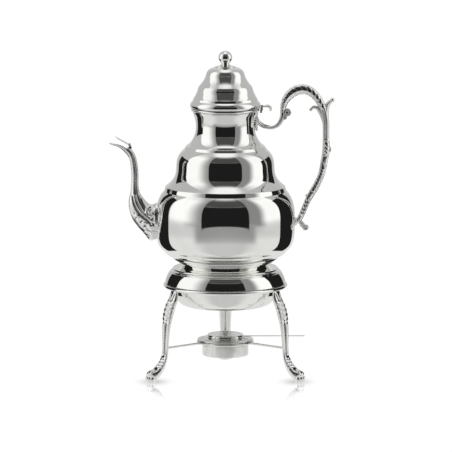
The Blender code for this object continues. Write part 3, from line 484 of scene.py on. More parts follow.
pot = {
    "wall": 1.2,
    # Radius and height above the underside, from the mouth down
    "neck": [(39.2, 180.2), (39.0, 174.6), (37.8, 170.9), (36.6, 167.0), (35.7, 161.5), (35.6, 156.0),
             (36.0, 152.0), (36.9, 148.6), (38.4, 144.9), (40.6, 140.9), (43.4, 137.4), (47.6, 134.2)],
    "neckBand": [(47.6, 134.2), (49.4, 131.0)],
    "tier": [(49.4, 131.0), (51.4, 129.2), (53.9, 126.6), (56.6, 122.4), (58.4, 117.4), (59.1, 112.4),
             (59.4, 107.0), (60.4, 100.2), (62.7, 94.9), (66.8, 90.0), (72.6, 85.0)],
    "bellyBand": [(72.6, 85.0), (73.8, 80.0)],
    "belly": [(73.8, 80.0), (76.4, 77.0), (79.3, 72.4), (81.7, 66.4), (83.2, 59.4), (83.9, 51.6),
              (84.0, 42.0), (83.8, 30.0), (82.9, 21.0), (80.9, 14.6), (78.0, 10.4), (74.6, 7.4)],
    "step": [(74.6, 7.4), (72.4, 4.6), (69.6, 2.2)],
    "sole": [(69.6, 2.2), (66.8, 0.9), (63.4, 0.0)],
    "strainerPitch": 5.8,
    "strainerHole": 1.8,
    "strainerHeight": 40.9,
    "strainerReach": 82.0,
    "pegLength": 12.0,
    # Anything facing up and lower than this above the underside is the floor inside.
    "insideFloor": 4.0,
    "ringRadius": 39.5,
    "ringSwell": 1.9,
    # Reeds of the foot: middle, corner radius, start and end of the round; the heights go down from the
    # body, except the last, which goes up from the warmer's collar.
    "reeds": (((62.4, -1.4), 0.95, 90, -66), ((58.6, -4.05), 0.85, 62, -66), ((54.8, 1.35), 0.85, 66, -84)),
    "reedFlat": 0.8,
    "footTop": 57.0,
    "spigotRadius": 50.0,
    "spigotWall": 1.1,
}


def above(base, course):
    return [(r, base + z) for r, z in course]


def strainerHoles():
    # Six holes round a middle one, as pegs through the wall behind the spout
    pitch, hole = pot["strainerPitch"], pot["strainerHole"] * mm
    height = bodyBase + pot["strainerHeight"]
    bm = bmesh.new()
    for across, up in [(0.0, 0.0)] + [(pitch * cos(pi * n / 3), pitch * sin(pi * n / 3)) for n in range(6)]:
        place = Matrix.Translation(axis + Vector((-pot["strainerReach"], across, height + up)) * mm)
        bmesh.ops.create_cone(bm, cap_ends=True, segments=20, radius1=hole, radius2=hole,
                              depth=pot["pegLength"] * mm, matrix=place @ Matrix.Rotation(pi / 2, 4, "Y"))
    mesh = bpy.data.meshes.new("strainer")
    bm.to_mesh(mesh)
    bm.free()
    return newObject("strainer", mesh)


def makeBody():
    courses = [above(bodyBase, pot[name])
               for name in ("neck", "neckBand", "tier", "bellyBand", "belly", "step", "sole")]
    outer = outline(*courses, [(pot["sole"][-1][0], bodyBase), (0.0, bodyBase)])
    body = turned("potBody", walled(outer, pot["wall"]), silver, segments=176)
    holes = strainerHoles()
    cut = body.modifiers.new("strainer", "BOOLEAN")
    cut.operation = "DIFFERENCE"
    cut.solver = "EXACT"
    cut.object = holes
    settled(body, silver)
    bpy.data.objects.remove(holes)
    tidyMesh(body.data)
    markInside(body, base=bodyBase + pot["insideFloor"])
    declared(body, "pot", "polished_silver", "pot_body", "pot_tier", "pot_neck")


def makeRings():
    bottom, top = heights("mouth_ring")
    middle, half = (bottom + top) / 2, (top - bottom) / 2
    inner, swell = pot["ringRadius"], pot["ringSwell"]
    ring = [(inner, top)] + [(inner + swell * cos(a), middle + half * sin(a))
                             for a in np.linspace(pi / 2, -pi / 2, 15)] + [(inner, bottom)]
    ring.append(ring[0])
    declared(turned("mouthRing", ring, silver), "pot", "polished_silver", "mouth_ring")

    # Three reeds under the body, and a spigot that drops into the warmer's collar
    bottom, top = heights("foot_ring")
    rest = heights("stand_collar")[1] + clearance
    half = pot["reedFlat"] / 2
    reeds = []
    for (radius, height), size, start, end in pot["reeds"]:
        # A flat band with rounded edges
        middle = height + (top if height < 0 else rest)
        turns = arc((radius, middle), size, start, end, 9)
        reeds.append([(r, z + (half if z > middle else -half)) for r, z in turns])
    neck, shoulder = pot["spigotRadius"], (pot["footTop"], top)
    inner = neck - pot["spigotWall"]
    foot = outline([shoulder, reeds[0][0]], reeds[0], [reeds[0][-1], reeds[1][0]], reeds[1],
                   [reeds[1][-1], reeds[2][0]], reeds[2], [reeds[2][-1], (neck, rest)],
                   [(neck, rest), (neck, bottom)], [(neck, bottom), (inner, bottom)],
                   [(inner, bottom), (inner + 0.3, rest + 2.0), shoulder], spacing=0.6)
    declared(turned("footRing", foot, silver), "pot", "polished_silver", "foot_ring")


makeBody()
makeRings()
print("pot turned")


# Lid

lid = {
    "wall": 1.2,
    # Radius and height above the lower edge, from the crown down
    "crown": [(0.0, 49.8), (8.0, 49.5), (14.4, 48.7), (18.4, 47.2), (21.2, 44.9), (22.8, 41.9),
              (23.9, 38.2), (25.4, 34.9), (27.6, 31.4), (30.2, 28.2), (32.2, 25.8)],
    "band": [(32.2, 25.8), (33.2, 23.2)],
    "wallCourse": [(33.2, 23.2), (34.2, 19.6), (36.0, 15.7), (37.6, 12.8), (38.6, 11.4)],
    "rimStep": [(38.6, 11.4), (39.2, 8.8)],
    "rim": [(39.2, 8.8), (41.0, 7.0), (42.2, 4.9), (42.6, 2.8), (42.3, 1.2), (41.6, 0.0)],
    "finialStem": [(12.4, 0.4), (9.4, 0.9), (6.8, 1.9), (4.9, 3.2), (4.1, 4.6)],
    "ballRadius": 8.3,
    "studRadius": 2.1,
    "bezelWall": 0.8,
}


def makeLid():
    lidBase, lidCrown = heights("lid_skirt")[0], heights("lid_shell")[1]
    courses = [above(lidBase, lid[name]) for name in ("crown", "band", "wallCourse", "rimStep", "rim")]
    shell = markInside(turned("lidShell", walled(outline(*courses), lid["wall"]), silver), up=-1)
    declared(shell, "lid", "polished_silver", "lid_shell", "lid_skirt")

    bottom, top = heights("lid_bezel")
    radius = halfWidth("lid_bezel")
    inner = radius - lid["bezelWall"]
    bezel = outline([(inner, top), (radius, top)], [(radius, top), (radius, bottom)],
                    [(radius, bottom), (inner, bottom)], [(inner, bottom), (inner, top)], spacing=3.0)
    declared(turned("lidBezel", bezel, machinedSilver), "lid", "plain_silver", "lid_bezel")

    # Ball finial on a spreading stem, with its stud through the crown
    studEnd, top = heights("lid_finial")
    ball = arc((0.0, top - lid["ballRadius"]), lid["ballRadius"], 90, -58, 36)
    stem = [ball[-1]] + [(r, lidCrown + z) for r, z in reversed(lid["finialStem"])]
    stud, seat = lid["studRadius"], lidCrown + 0.1
    finial = outline(ball, stem, [stem[-1], (stem[-1][0] - 0.2, seat), (stud, seat)],
                     [(stud, seat), (stud, studEnd)], [(stud, studEnd), (0.0, studEnd)], spacing=0.6)
    declared(turned("lidFinial", finial, silver, segments=96), "lid", "polished_silver", "lid_finial")

    bottom, top = heights("finial_nut")
    radius = halfWidth("finial_nut") - 0.1
    bore = stud + clearance
    nut = outline([(bore, top), (radius - 0.3, top)],
                  [(radius - 0.3, top), (radius, top - 0.5), (radius, bottom + 0.5)],
                  [(radius, bottom + 0.5), (radius - 0.4, bottom), (bore, bottom)],
                  [(bore, bottom), (bore, top)], spacing=0.5, fillet=0.15)
    declared(turned("finialNut", nut, brass, segments=144, sharp=60.0, flutes=24, fluteDepth=0.03),
             "lid", "brass", "finial_nut")


makeLid()
print("lid turned")


# Warmer

warmer = {
    "wall": 1.2,
    # Radius and height above the table, from the seat down
    "collar": [(51.9, 137.2), (52.6, 136.2), (54.6, 134.8), (58.8, 132.9), (62.6, 131.5)],
    "reed": (62.6, 130.6, 1.15),
    "shoulder": [(63.8, 130.0), (65.6, 128.9), (67.0, 127.4)],
    "skirt": [(67.6, 127.0), (69.4, 124.0), (71.2, 120.2), (72.6, 116.4), (73.5, 113.2)],
    # From the flange under the bead down to the flame's opening
    "bowl": [(71.2, 109.4), (68.0, 109.2), (65.4, 108.7), (63.7, 107.3), (63.1, 104.0), (62.0, 99.2),
             (60.0, 94.4), (56.4, 89.8), (51.4, 86.6), (45.0, 85.2), (38.0, 85.0), (32.2, 85.0)],
}


def makeWarmer():
    reedRadius, reedHeight, reedSize = warmer["reed"]
    reed = arc((reedRadius, reedHeight), reedSize, 100, -70, 8)
    dome = outline(warmer["collar"], [warmer["collar"][-1], reed[0]], reed, [reed[-1], warmer["shoulder"][0]],
                   warmer["shoulder"], [warmer["shoulder"][-1], warmer["skirt"][0]], warmer["skirt"],
                   spacing=0.8)
    skin = turned("warmerDome", walled(dome, warmer["wall"]), warmerSilver, segments=176)
    declared(markInside(skin, up=-1), "warmer", "polished_silver", "stand_dome", "stand_collar")

    bottom, top = heights("stand_rim_bead")
    size = (top - bottom) / 2
    bead = arc((halfWidth("stand_rim_bead") - size, (bottom + top) / 2), size, 90, -270, 28)
    declared(turned("warmerBead", bead, warmerSilver, segments=176, sharp=80.0),
             "warmer", "polished_silver", "stand_rim_bead")

    bowl = walled(outline(warmer["bowl"]), warmer["wall"])
    skin = turned("warmerBowl", bowl, warmerSilver, segments=176)
    declared(markInside(skin, up=1), "warmer", "polished_silver", "stand_bowl", "stand_bowl_floor")


makeWarmer()
print("warmer turned")


# Castings

def sweepGrid(stations, sides, spacing, power=2.0, caps=6):
    # Closed rings round a path in the XZ plane, with round ends; a station is (x, z, half thickness,
    # half depth).
    rows = fairCurve(stations, spacing)
    along = np.gradient(rows[:, :2], axis=0)
    along /= np.linalg.norm(along, axis=1)[:, None]
    steps = np.linalg.norm(np.diff(rows[:, :2], axis=0), axis=1)
    length = np.concatenate([[0.0], np.cumsum(steps)])
    angles = np.linspace(0.0, pi / 2, caps + 1)[1:]
    headRows, tailRows, headLength, tailLength = [], [], [], []
    for a in angles:
        for end, way, kept, marks in ((0, -1, headRows, headLength), (-1, 1, tailRows, tailLength)):
            row = rows[end].copy()
            reach = min(row[2], row[3]) * sin(a)
            row[:2] += along[end] * way * reach
            row[2:] *= max(cos(a), 0.0)
            kept.append(row)
            marks.append(length[end] + way * reach)
    rows = np.concatenate([headRows[::-1], rows, tailRows])
    along = np.concatenate([[along[0]] * caps, along, [along[-1]] * caps])
    length = np.concatenate([headLength[::-1], length, tailLength])
    across = np.stack([along[:, 1], -along[:, 0]], axis=1)
    turn = np.linspace(0.0, 2 * pi, sides, endpoint=False)
    flat = np.sign(np.cos(turn)) * np.abs(np.cos(turn)) ** (2 / power)
    deep = np.sign(np.sin(turn)) * np.abs(np.sin(turn)) ** (2 / power)
    grid = np.zeros((len(rows), sides, 3))
    grid[:, :, 0] = rows[:, 0, None] + across[:, 0, None] * rows[:, 2, None] * flat
    grid[:, :, 2] = rows[:, 1, None] + across[:, 1, None] * rows[:, 2, None] * flat
    grid[:, :, 1] = rows[:, 3, None] * deep
    return {"grid": grid, "rows": rows, "across": across,
            "flat": np.broadcast_to(flat, grid.shape[:2]), "deep": np.broadcast_to(deep, grid.shape[:2]),
            "s": np.broadcast_to(length[:, None], grid.shape[:2])}


def gridNormals(grid):
    around = np.roll(grid, -1, axis=1) - np.roll(grid, 1, axis=1)
    along = np.gradient(grid, axis=0)
    normals = np.cross(around, along)
    normals /= np.maximum(np.linalg.norm(normals, axis=2, keepdims=True), 1e-9)
    outward = grid - grid.mean(axis=1, keepdims=True)
    if (normals * outward).sum() < 0:
        normals = -normals
    return normals


def carved(sweep, field, scale=0.7, plain=0.5):
    # Moves a sweep's skin along its normals; the relief mark says how high each place stands.
    grid = sweep["grid"] + gridNormals(sweep["grid"]) * field[:, :, None]
    return grid, np.clip(plain + 0.5 * field / scale, 0.0, 1.0)


def strokeField(x, z, strokes):
    # Raised and cut lines drawn on a side view, from rows of (height, half width, points).
    raised = np.zeros_like(x)
    cut = np.zeros_like(x)
    for height, width, points in strokes:
        line = np.array(points, float)
        if len(line) > 1:
            line = fairCurve(line, 0.4) if len(line) > 2 else np.linspace(line[0], line[1], 24)
        low, high = line.min(axis=0) - 3.2 * width, line.max(axis=0) + 3.2 * width
        near = (x > low[0]) & (x < high[0]) & (z > low[1]) & (z < high[1])
        places = np.stack([x[near], z[near]], axis=1)
        gap = np.full(len(places), 1e9)
        for corner in line:
            gap = np.minimum(gap, ((places - corner) ** 2).sum(axis=1))
        shape = height * np.exp(-gap / width ** 2)
        if height > 0:
            raised[near] = np.maximum(raised[near], shape)
        else:
            cut[near] = np.minimum(cut[near], shape)
    return raised + cut


def spiral(centre, start, end, turns, angle, way=1):
    # Points of a scroll from its outer to its inner radius.
    steps = int(abs(turns) * 18) + 2
    return [(centre[0] + (start + (end - start) * t) * cos(angle + way * 2 * pi * turns * t),
             centre[1] + (start + (end - start) * t) * sin(angle + way * 2 * pi * turns * t))
            for t in np.linspace(0.0, 1.0, steps)]


def between(s, start, end, soft=1.5):
    # One inside a stretch of a path, fading at its ends.
    rise = np.clip((s - start) / soft, 0.0, 1.0)
    fall = np.clip((end - s) / soft, 0.0, 1.0)
    return rise * fall


def leafage(s, across, pitch, slant, depth, midrib=0.0, ribWidth=0.16):
    # Overlapping leaf lobes that lean away from a midrib, as chased on both sides of it.
    aside = across - midrib
    phase = (s + slant * np.abs(aside)) / pitch
    saw = phase - np.floor(phase)
    lobe = depth * (np.sin(pi * saw) ** 0.7 - 0.55)
    tip = depth * 0.5 * np.sin(2 * pi * (phase * 3)) * np.clip(np.abs(aside) - 0.45, 0, 1)
    rib = depth * 1.1 * np.exp(-(aside / ribWidth) ** 2)
    return lobe + tip + rib


def wallRadius(z):
    # The pot's outside at a height above the table.
    courses = [above(bodyBase, pot[name]) for name in ("neck", "tier", "belly", "step", "sole")]
    outer = np.array(sorted({(p[1], p[0]) for course in courses for p in course}))
    return np.interp(z, outer[:, 0], outer[:, 1])


def againstWall(grid, sink=0.35):
    # Keeps a casting's foot out of the pot, pressed against its wall.
    radius = np.hypot(grid[:, :, 0], grid[:, :, 1])
    least = wallRadius(grid[:, :, 2]) - sink
    low, high = bodyBase, bodyBase + pot["neck"][0][1]
    inside = (radius < least) & (grid[:, :, 2] > low) & (grid[:, :, 2] < high)
    push = np.where(inside, least / np.maximum(radius, 1e-6), 1.0)
    kept = grid.copy()
    kept[:, :, 0] *= push
    kept[:, :, 1] *= push
    return kept


def castMesh(name, sheets, material, turn=0.0, sharp=52.0):
    # Joins swept skins in one piece and writes how high each place of its relief stands.
    corners, faces, relief = [], [], []
    for grid, marks in sheets:
        rings, sides = grid.shape[:2]
        first = sum(len(part) for part in corners)
        corners.append(grid.reshape(-1, 3))
        relief.append(marks.reshape(-1))
        i, j = np.meshgrid(np.arange(rings - 1), np.arange(sides), indexing="ij")
        k = (j + 1) % sides
        quads = np.stack([i * sides + j, i * sides + k, (i + 1) * sides + k, (i + 1) * sides + j], axis=2)
        faces.append(quads.reshape(-1, 4) + first)
    corners = np.concatenate(corners)
    spun = corners.copy()
    spun[:, 0] = corners[:, 0] * cos(turn) - corners[:, 1] * sin(turn)
    spun[:, 1] = corners[:, 0] * sin(turn) + corners[:, 1] * cos(turn)
    spun = spun * mm + np.array(axis)
    mesh = bpy.data.meshes.new(name)
    mesh.from_pydata(spun.tolist(), [], np.concatenate(faces).tolist())
    mark = mesh.attributes.new("relief", "FLOAT", "POINT")
    mark.data.foreach_set("value", np.concatenate(relief))
    tidyMesh(mesh, sharp)
    mesh.materials.append(material)
    return newObject(name, mesh)


def plainSweep(stations, sides=24, spacing=0.5, power=2.0, mark=0.62):
    sweep = sweepGrid(stations, sides, spacing, power)
    return sweep["grid"], np.full(sweep["grid"].shape[:2], mark)


def ballSheet(centre, radius, stretch=1.0, sides=24, mark=0.66):
    # A ball as a sheet of rings, stretched across the casting.
    x, y, z = centre
    rings = np.linspace(0.0, pi, 15)
    turn = np.linspace(0.0, 2 * pi, sides, endpoint=False)
    grid = np.zeros((len(rings), sides, 3))
    grid[:, :, 0] = x + radius * np.sin(rings)[:, None] * np.cos(turn)
    grid[:, :, 2] = z + radius * np.sin(rings)[:, None] * np.sin(turn)
    grid[:, :, 1] = y + radius * stretch * np.cos(rings)[:, None]
    return grid, np.full(grid.shape[:2], mark)


def rosette(centre, profile, sides=40):
    # A scroll's end: rings about the Y direction, the same on both faces, its low rings marked as hollows.
    half = fairCurve(profile, 0.3)
    high = half[:, 1].max()
    rows = np.concatenate([half, half[-2::-1] * (1.0, -1.0)])
    turn = np.linspace(0.0, 2 * pi, sides, endpoint=False)
    radius = np.maximum(rows[:, 0, None], 0.0)
    grid = np.zeros((len(rows), sides, 3))
    grid[:, :, 0] = centre[0] + radius * np.cos(turn)
    grid[:, :, 2] = centre[1] + radius * np.sin(turn)
    grid[:, :, 1] = rows[:, 1, None]
    near = np.abs(rows[:, 1]) / high
    marks = np.where(rows[:, 0] < profile[-1][0] * 0.9, np.clip(near * 1.1 - 0.45, 0.0, 0.6), 0.55)
    return grid, np.broadcast_to(marks[:, None], grid.shape[:2]).copy()


def refined(node, material, body, slotName, bevel=0.25, name=None):
    # A copy of a plain node with its doubles merged and its edges rounded.
    source = bpy.data.objects[node]
    mesh = source.data.copy()
    mesh.transform(source.matrix_world)
    mesh.name = name or node
    copy = newObject(mesh.name, mesh)
    tidyMesh(mesh)
    edge = copy.modifiers.new("softened", "BEVEL")
    edge.width = bevel * mm
    edge.segments = 3
    edge.limit_method = "ANGLE"
    edge.angle_limit = radians(35)
    edge.harden_normals = False
    settled(copy, material)
    tidyMesh(copy.data, 60.0)
    return declared(copy, body, slotName, node)


# Spout

spout = {
    # x, height, half thickness, half depth, from the beak to the root
    "path": [(-139.2, 282.7, 0.9, 1.6), (-134.4, 281.8, 1.7, 3.4), (-127.2, 280.0, 2.6, 4.6),
             (-120.0, 276.0, 3.9, 5.0), (-113.4, 268.5, 4.3, 4.8), (-110.4, 258.2, 4.3, 4.6),
             (-109.2, 243.6, 4.4, 4.6), (-109.4, 230.3, 4.7, 4.8), (-108.9, 221.0, 6.0, 5.6)],
    "socket": [(-109.2, 224.0, 5.0, 5.0), (-108.6, 218.2, 7.7, 6.6), (-104.8, 205.4, 12.1, 9.4),
               (-98.3, 196.6, 15.8, 11.8), (-90.4, 191.8, 20.3, 14.2), (-83.4, 188.8, 25.3, 15.3)],
    "strokes": [
        # Two flowing grooves from the tube to the boss, the band between them, and the rim at the body
        (-1.7, 0.95, [(-112.4, 221.0), (-111.4, 214.2), (-108.6, 206.5), (-104.7, 200.3), (-99.5, 195.6),
                      (-94.4, 191.7), (-89.5, 186.4)]),
        (-1.3, 0.75, [(-108.2, 222.0), (-107.0, 216.0), (-104.6, 210.0), (-101.3, 203.8), (-96.5, 197.8),
                      (-91.0, 193.4)]),
        (0.9, 1.1, [(-110.2, 220.0), (-108.9, 213.0), (-106.4, 207.0), (-102.8, 201.8), (-97.8, 196.6),
                    (-92.6, 192.4)]),
        (1.1, 1.2, [(-83.6, 212.4), (-84.4, 203.0), (-84.6, 190.0), (-84.0, 176.0), (-82.6, 162.0)]),
        # Boss with its ring, and the drilled eyes with theirs
        (2.2, 3.2, [(-90.6, 183.2)]),
        (-1.3, 0.7, spiral((-90.6, 183.2), 5.4, 5.4, 0.72, pi * 0.95)),
        (-1.9, 0.95, [(-109.6, 199.2)]), (-2.2, 1.15, [(-107.2, 193.6)]),
        (-2.3, 1.25, [(-100.8, 189.6)]), (-2.0, 1.1, [(-96.8, 184.8)]),
        (0.9, 0.6, spiral((-107.2, 193.6), 2.6, 2.6, 0.8, pi * 0.2)),
        (0.9, 0.6, spiral((-100.8, 189.6), 2.8, 2.8, 0.8, pi * 0.2)),
        (0.8, 0.6, spiral((-96.8, 184.8), 2.5, 2.5, 0.8, pi * 0.2)),
        # Scroll on the upper half
        (1.5, 0.95, spiral((-89.6, 200.4), 6.6, 1.2, 1.7, pi * 0.5)),
        (-0.9, 0.55, spiral((-89.6, 200.4), 5.2, 1.0, 1.3, pi * 0.5)),
        (1.2, 1.0, [(-101.0, 216.4), (-98.6, 210.0), (-95.4, 204.0), (-93.4, 197.0)]),
        # Little scroll at the foot of the root
        (1.6, 1.3, spiral((-87.8, 164.8), 2.6, 0.6, 1.2, pi * 0.4)),
        (-1.0, 0.6, [(-93.6, 171.0), (-90.2, 170.2), (-86.6, 171.4)]),
        (1.0, 0.8, [(-97.0, 176.0), (-93.0, 174.4), (-89.4, 175.2)]),
    ],
    # The beak is hollowed this far in from its tip, and as deep as this share of its half thickness
    "trough": 22.0,
    "troughDepth": 1.35,
}

flap = {
    # Stations like the spout's, from the pin to the tip
    "path": [(-114.6, 280.2, 0.9, 2.2), (-117.0, 281.6, 0.75, 4.2), (-121.4, 284.2, 0.7, 5.1),
             (-126.6, 287.0, 0.65, 4.6), (-130.6, 289.4, 0.6, 2.9), (-132.8, 291.0, 0.5, 1.0)],
    "knuckle": [(-115.1, 279.9, 1.1, 2.2), (-114.6, 280.3, 1.1, 2.2)],
}


def makeSpout():
    tube = sweepGrid(spout["path"], 88, 0.42, power=2.1)
    s, flat = tube["s"], tube["flat"]
    end = s.max()
    # The upper side of the beak sinks into an open trough with a thin rim.
    upper = np.clip((-flat - 0.12) / 0.88, 0.0, 1.0)
    sink = between(s, 1.2, spout["trough"], 4.0) * upper ** 0.75 * spout["troughDepth"]
    sink = sink * tube["rows"][:, 2, None]
    grid = tube["grid"]
    grid[:, :, 0] += tube["across"][:, 0, None] * sink
    grid[:, :, 2] += tube["across"][:, 1, None] * sink
    # Two fine lines down the tube with a swelling between them
    lines = -0.34 * np.exp(-((flat + 0.30) / 0.06) ** 2) - 0.40 * np.exp(-((flat - 0.86) / 0.07) ** 2)
    lines = lines + 0.22 * np.exp(-((flat - 0.34) / 0.30) ** 2)
    field = between(s, 27.0, end - 2.0, 5.0) * lines
    # Leaf chasing under the beak and scallops along its rim
    scallop = np.abs(np.sin(pi * s / 2.3))
    rim = (0.26 * scallop - 0.15) * np.exp(-((flat + 0.05) / 0.22) ** 2)
    field = field + between(s, 2.0, 24.0, 3.0) * rim
    chased = leafage(s, flat, 4.4, 2.6, 0.20, midrib=0.45)
    field = field + between(s, 7.0, 30.0, 4.0) * np.clip(flat + 0.05, 0, 1) * chased
    # A small collar where the tube leaves the socket
    field = field + 0.5 * np.exp(-((s - end + 4.6) / 0.8) ** 2)

    root = sweepGrid(spout["socket"], 224, 0.4, power=2.15)
    x, z = root["grid"][:, :, 0], root["grid"][:, :, 2]
    facing = np.abs(root["deep"]) ** 0.35
    drawn = 0.66 * strokeField(x, z, spout["strokes"]) * facing
    outward = root["flat"]
    ridges = 0.06 * np.cos(2 * pi * outward * root["rows"][:, 2, None] / 2.9)
    ridges = ridges * np.clip((outward - 0.42) / 0.15, 0, 1) * between(root["s"], 9.0, 46.0, 5.0)
    skin, marks = carved(root, drawn + ridges, scale=0.9)
    sheets = [carved(tube, field), (againstWall(skin), marks)]
    declared(castMesh("spoutCasting", sheets, spoutSilver), "pot", "cast_silver", "spout")


def makeFlap():
    # A leaf over the beak, with a midrib and veins; it turns on a pin in two small ears.
    leaf = sweepGrid(flap["path"], 72, 0.3, power=2.4)
    veins = np.cos(2 * pi * (leaf["s"] + 3.2 * np.abs(leaf["deep"])) / 2.1)
    rib = 0.32 * np.exp(-(leaf["deep"] / 0.14) ** 2)
    field = (0.13 * veins + rib) * between(leaf["s"], 1.0, 20.0, 2.0) * np.abs(leaf["flat"]) ** 0.4
    sheets = [carved(leaf, field, 0.4), plainSweep(flap["knuckle"])]
    declared(castMesh("spoutFlapLeaf", sheets, chasedSilver), "spout_flap", "cast_silver", "spout_flap")
    refined("spout_flap_bracket", chasedSilver, "pot", "cast_silver", 0.3, "flapBracket")
    refined("spout_flap_pin", machinedSilver, "pot", "plain_silver", 0.18, "flapPin")


makeSpout()
makeFlap()
print("spout and flap cast")


# Handle

handle = {
    # Scrolls as radius and half depth, from the eye outwards
    "volute": [(0.0, 1.2), (1.3, 1.3), (1.5, 3.2), (2.3, 3.9), (2.9, 3.5), (3.4, 2.9), (3.9, 3.3),
               (4.6, 3.0), (5.0, 1.8), (5.1, 0.0)],
    "tailScroll": [(0.0, 2.2), (1.0, 2.0), (1.5, 3.1), (2.4, 3.3), (3.4, 2.4), (3.9, 0.0)],
    "underScroll": [(0.0, 3.4), (1.2, 3.3), (1.6, 2.6), (2.2, 3.0), (3.0, 2.6), (3.4, 1.4), (3.5, 0.0)],
    # x, height, half thickness, half depth, from the neck to the tail
    "path": [(38.9, 309.4, 2.6, 4.2), (42.4, 305.4, 2.2, 3.4), (46.8, 302.9, 2.0, 2.9),
             (53.4, 301.9, 2.1, 2.8), (60.0, 302.9, 2.3, 2.9), (65.6, 308.0, 2.6, 3.2),
             (68.6, 315.1, 3.0, 3.5), (69.3, 322.6, 3.3, 3.8), (70.8, 330.9, 4.0, 4.1),
             (75.0, 338.9, 5.1, 4.4), (82.8, 345.4, 6.0, 4.6), (92.4, 348.3, 6.1, 4.7),
             (102.0, 345.8, 5.6, 4.6), (109.6, 339.0, 5.0, 4.5), (115.2, 330.5, 4.6, 4.3),
             (119.2, 320.0, 4.3, 4.1), (121.4, 304.2, 4.1, 4.0), (121.4, 290.0, 4.0, 3.9),
             (121.6, 276.3, 4.5, 4.2), (120.0, 264.2, 4.4, 4.0), (118.2, 254.5, 4.2, 3.8),
             (116.0, 244.8, 4.1, 3.7), (112.4, 236.6, 4.0, 3.6), (108.0, 227.9, 4.2, 3.6),
             (103.2, 220.2, 4.1, 3.5), (99.4, 213.0, 3.6, 3.3), (95.6, 203.6, 3.4, 3.1),
             (91.4, 194.0, 3.2, 3.0), (88.6, 188.4, 2.9, 2.9)],
    "strokes": [
        # Scrolls at the foot of the arch
        (-0.9, 0.55, spiral((74.3, 320.4), 3.7, 1.8, 1.1, pi * 0.6)),
        # Bead cluster on the stem
        (1.2, 1.2, [(120.0, 281.0)]), (1.2, 1.2, [(123.6, 279.6)]), (1.2, 1.2, [(119.4, 276.6)]),
        (1.3, 1.3, [(123.2, 275.0)]), (1.1, 1.1, [(119.6, 272.2)]), (1.1, 1.1, [(122.8, 270.8)]),
        (-0.9, 0.6, [(117.2, 284.4), (121.4, 285.4), (125.6, 284.2)]),
        (-0.9, 0.6, [(116.4, 268.2), (120.6, 266.8), (124.6, 267.8)]),
        # Plain facet with a slanting cut under it
        (-1.1, 0.6, [(114.6, 262.0), (118.2, 258.2), (122.2, 254.6)]),
        (-0.8, 0.55, [(104.0, 224.4), (107.6, 222.8), (111.2, 223.6)]),
        (-1.0, 0.6, [(100.2, 213.4), (97.0, 206.0), (93.4, 197.6)]),
    ],
    # Stations like the path's
    "spurs": [
        # The long leaf off the shoulder with its knob, and the one inside the arch
        [(120.8, 312.0, 3.4, 3.2), (121.2, 321.0, 3.6, 3.2), (122.4, 327.8, 3.2, 2.9),
         (125.2, 332.2, 2.5, 2.5), (128.2, 334.8, 1.8, 2.0)],
        [(119.2, 308.0, 2.2, 2.6), (117.0, 315.6, 2.8, 2.8), (113.8, 322.0, 2.8, 2.7),
         (109.8, 326.0, 2.4, 2.5), (105.8, 326.4, 1.9, 2.1), (103.2, 324.0, 1.5, 1.7)],
        # Inside the lower stem, beside the cluster, and at the tail
        [(108.2, 225.6, 2.0, 2.2), (104.2, 221.8, 1.7, 2.0), (101.0, 220.0, 1.3, 1.6),
         (98.4, 219.4, 0.9, 1.1)],
        [(122.6, 280.0, 2.2, 2.4), (125.8, 277.6, 1.6, 2.0), (126.8, 275.2, 1.2, 1.5),
         (126.0, 272.6, 0.8, 1.1)],
        [(88.4, 190.0, 3.2, 3.0), (91.4, 186.0, 2.8, 2.8), (94.4, 182.6, 2.4, 2.5),
         (96.6, 180.6, 2.2, 2.2)],
    ],
    # A thin strand over the arm's root, the eyes of the scrolls, and the balls at the leaves' ends
    "strand": [(38.9, 313.6, 1.1, 2.6), (41.2, 309.6, 1.0, 2.2), (45.0, 306.6, 0.9, 1.9),
               (50.0, 304.6, 0.8, 1.6), (55.0, 303.4, 0.6, 1.2)],
    "archEye": (74.3, 320.4),
    "underEye": (71.0, 314.6),
    "tailEye": (96.9, 180.2),
    "balls": [((129.0, 0.0, 335.4), 2.8), ((102.9, 0.0, 323.6), 2.0), ((98.0, 0.0, 219.4), 1.4)],
    "neckPlate": [(37.9, 320.4, 1.2, 3.2), (37.4, 316.6, 1.5, 5.2), (37.3, 310.0, 1.9, 5.7),
                  (37.5, 303.6, 1.5, 4.6), (37.7, 298.9, 0.9, 1.6)],
    "bellyBoss": [(83.6, 187.8, 6.0, 6.2), (84.8, 187.8, 5.4, 5.6), (86.2, 187.9, 3.9, 4.2),
                  (87.2, 188.0, 3.2, 3.4)],
}


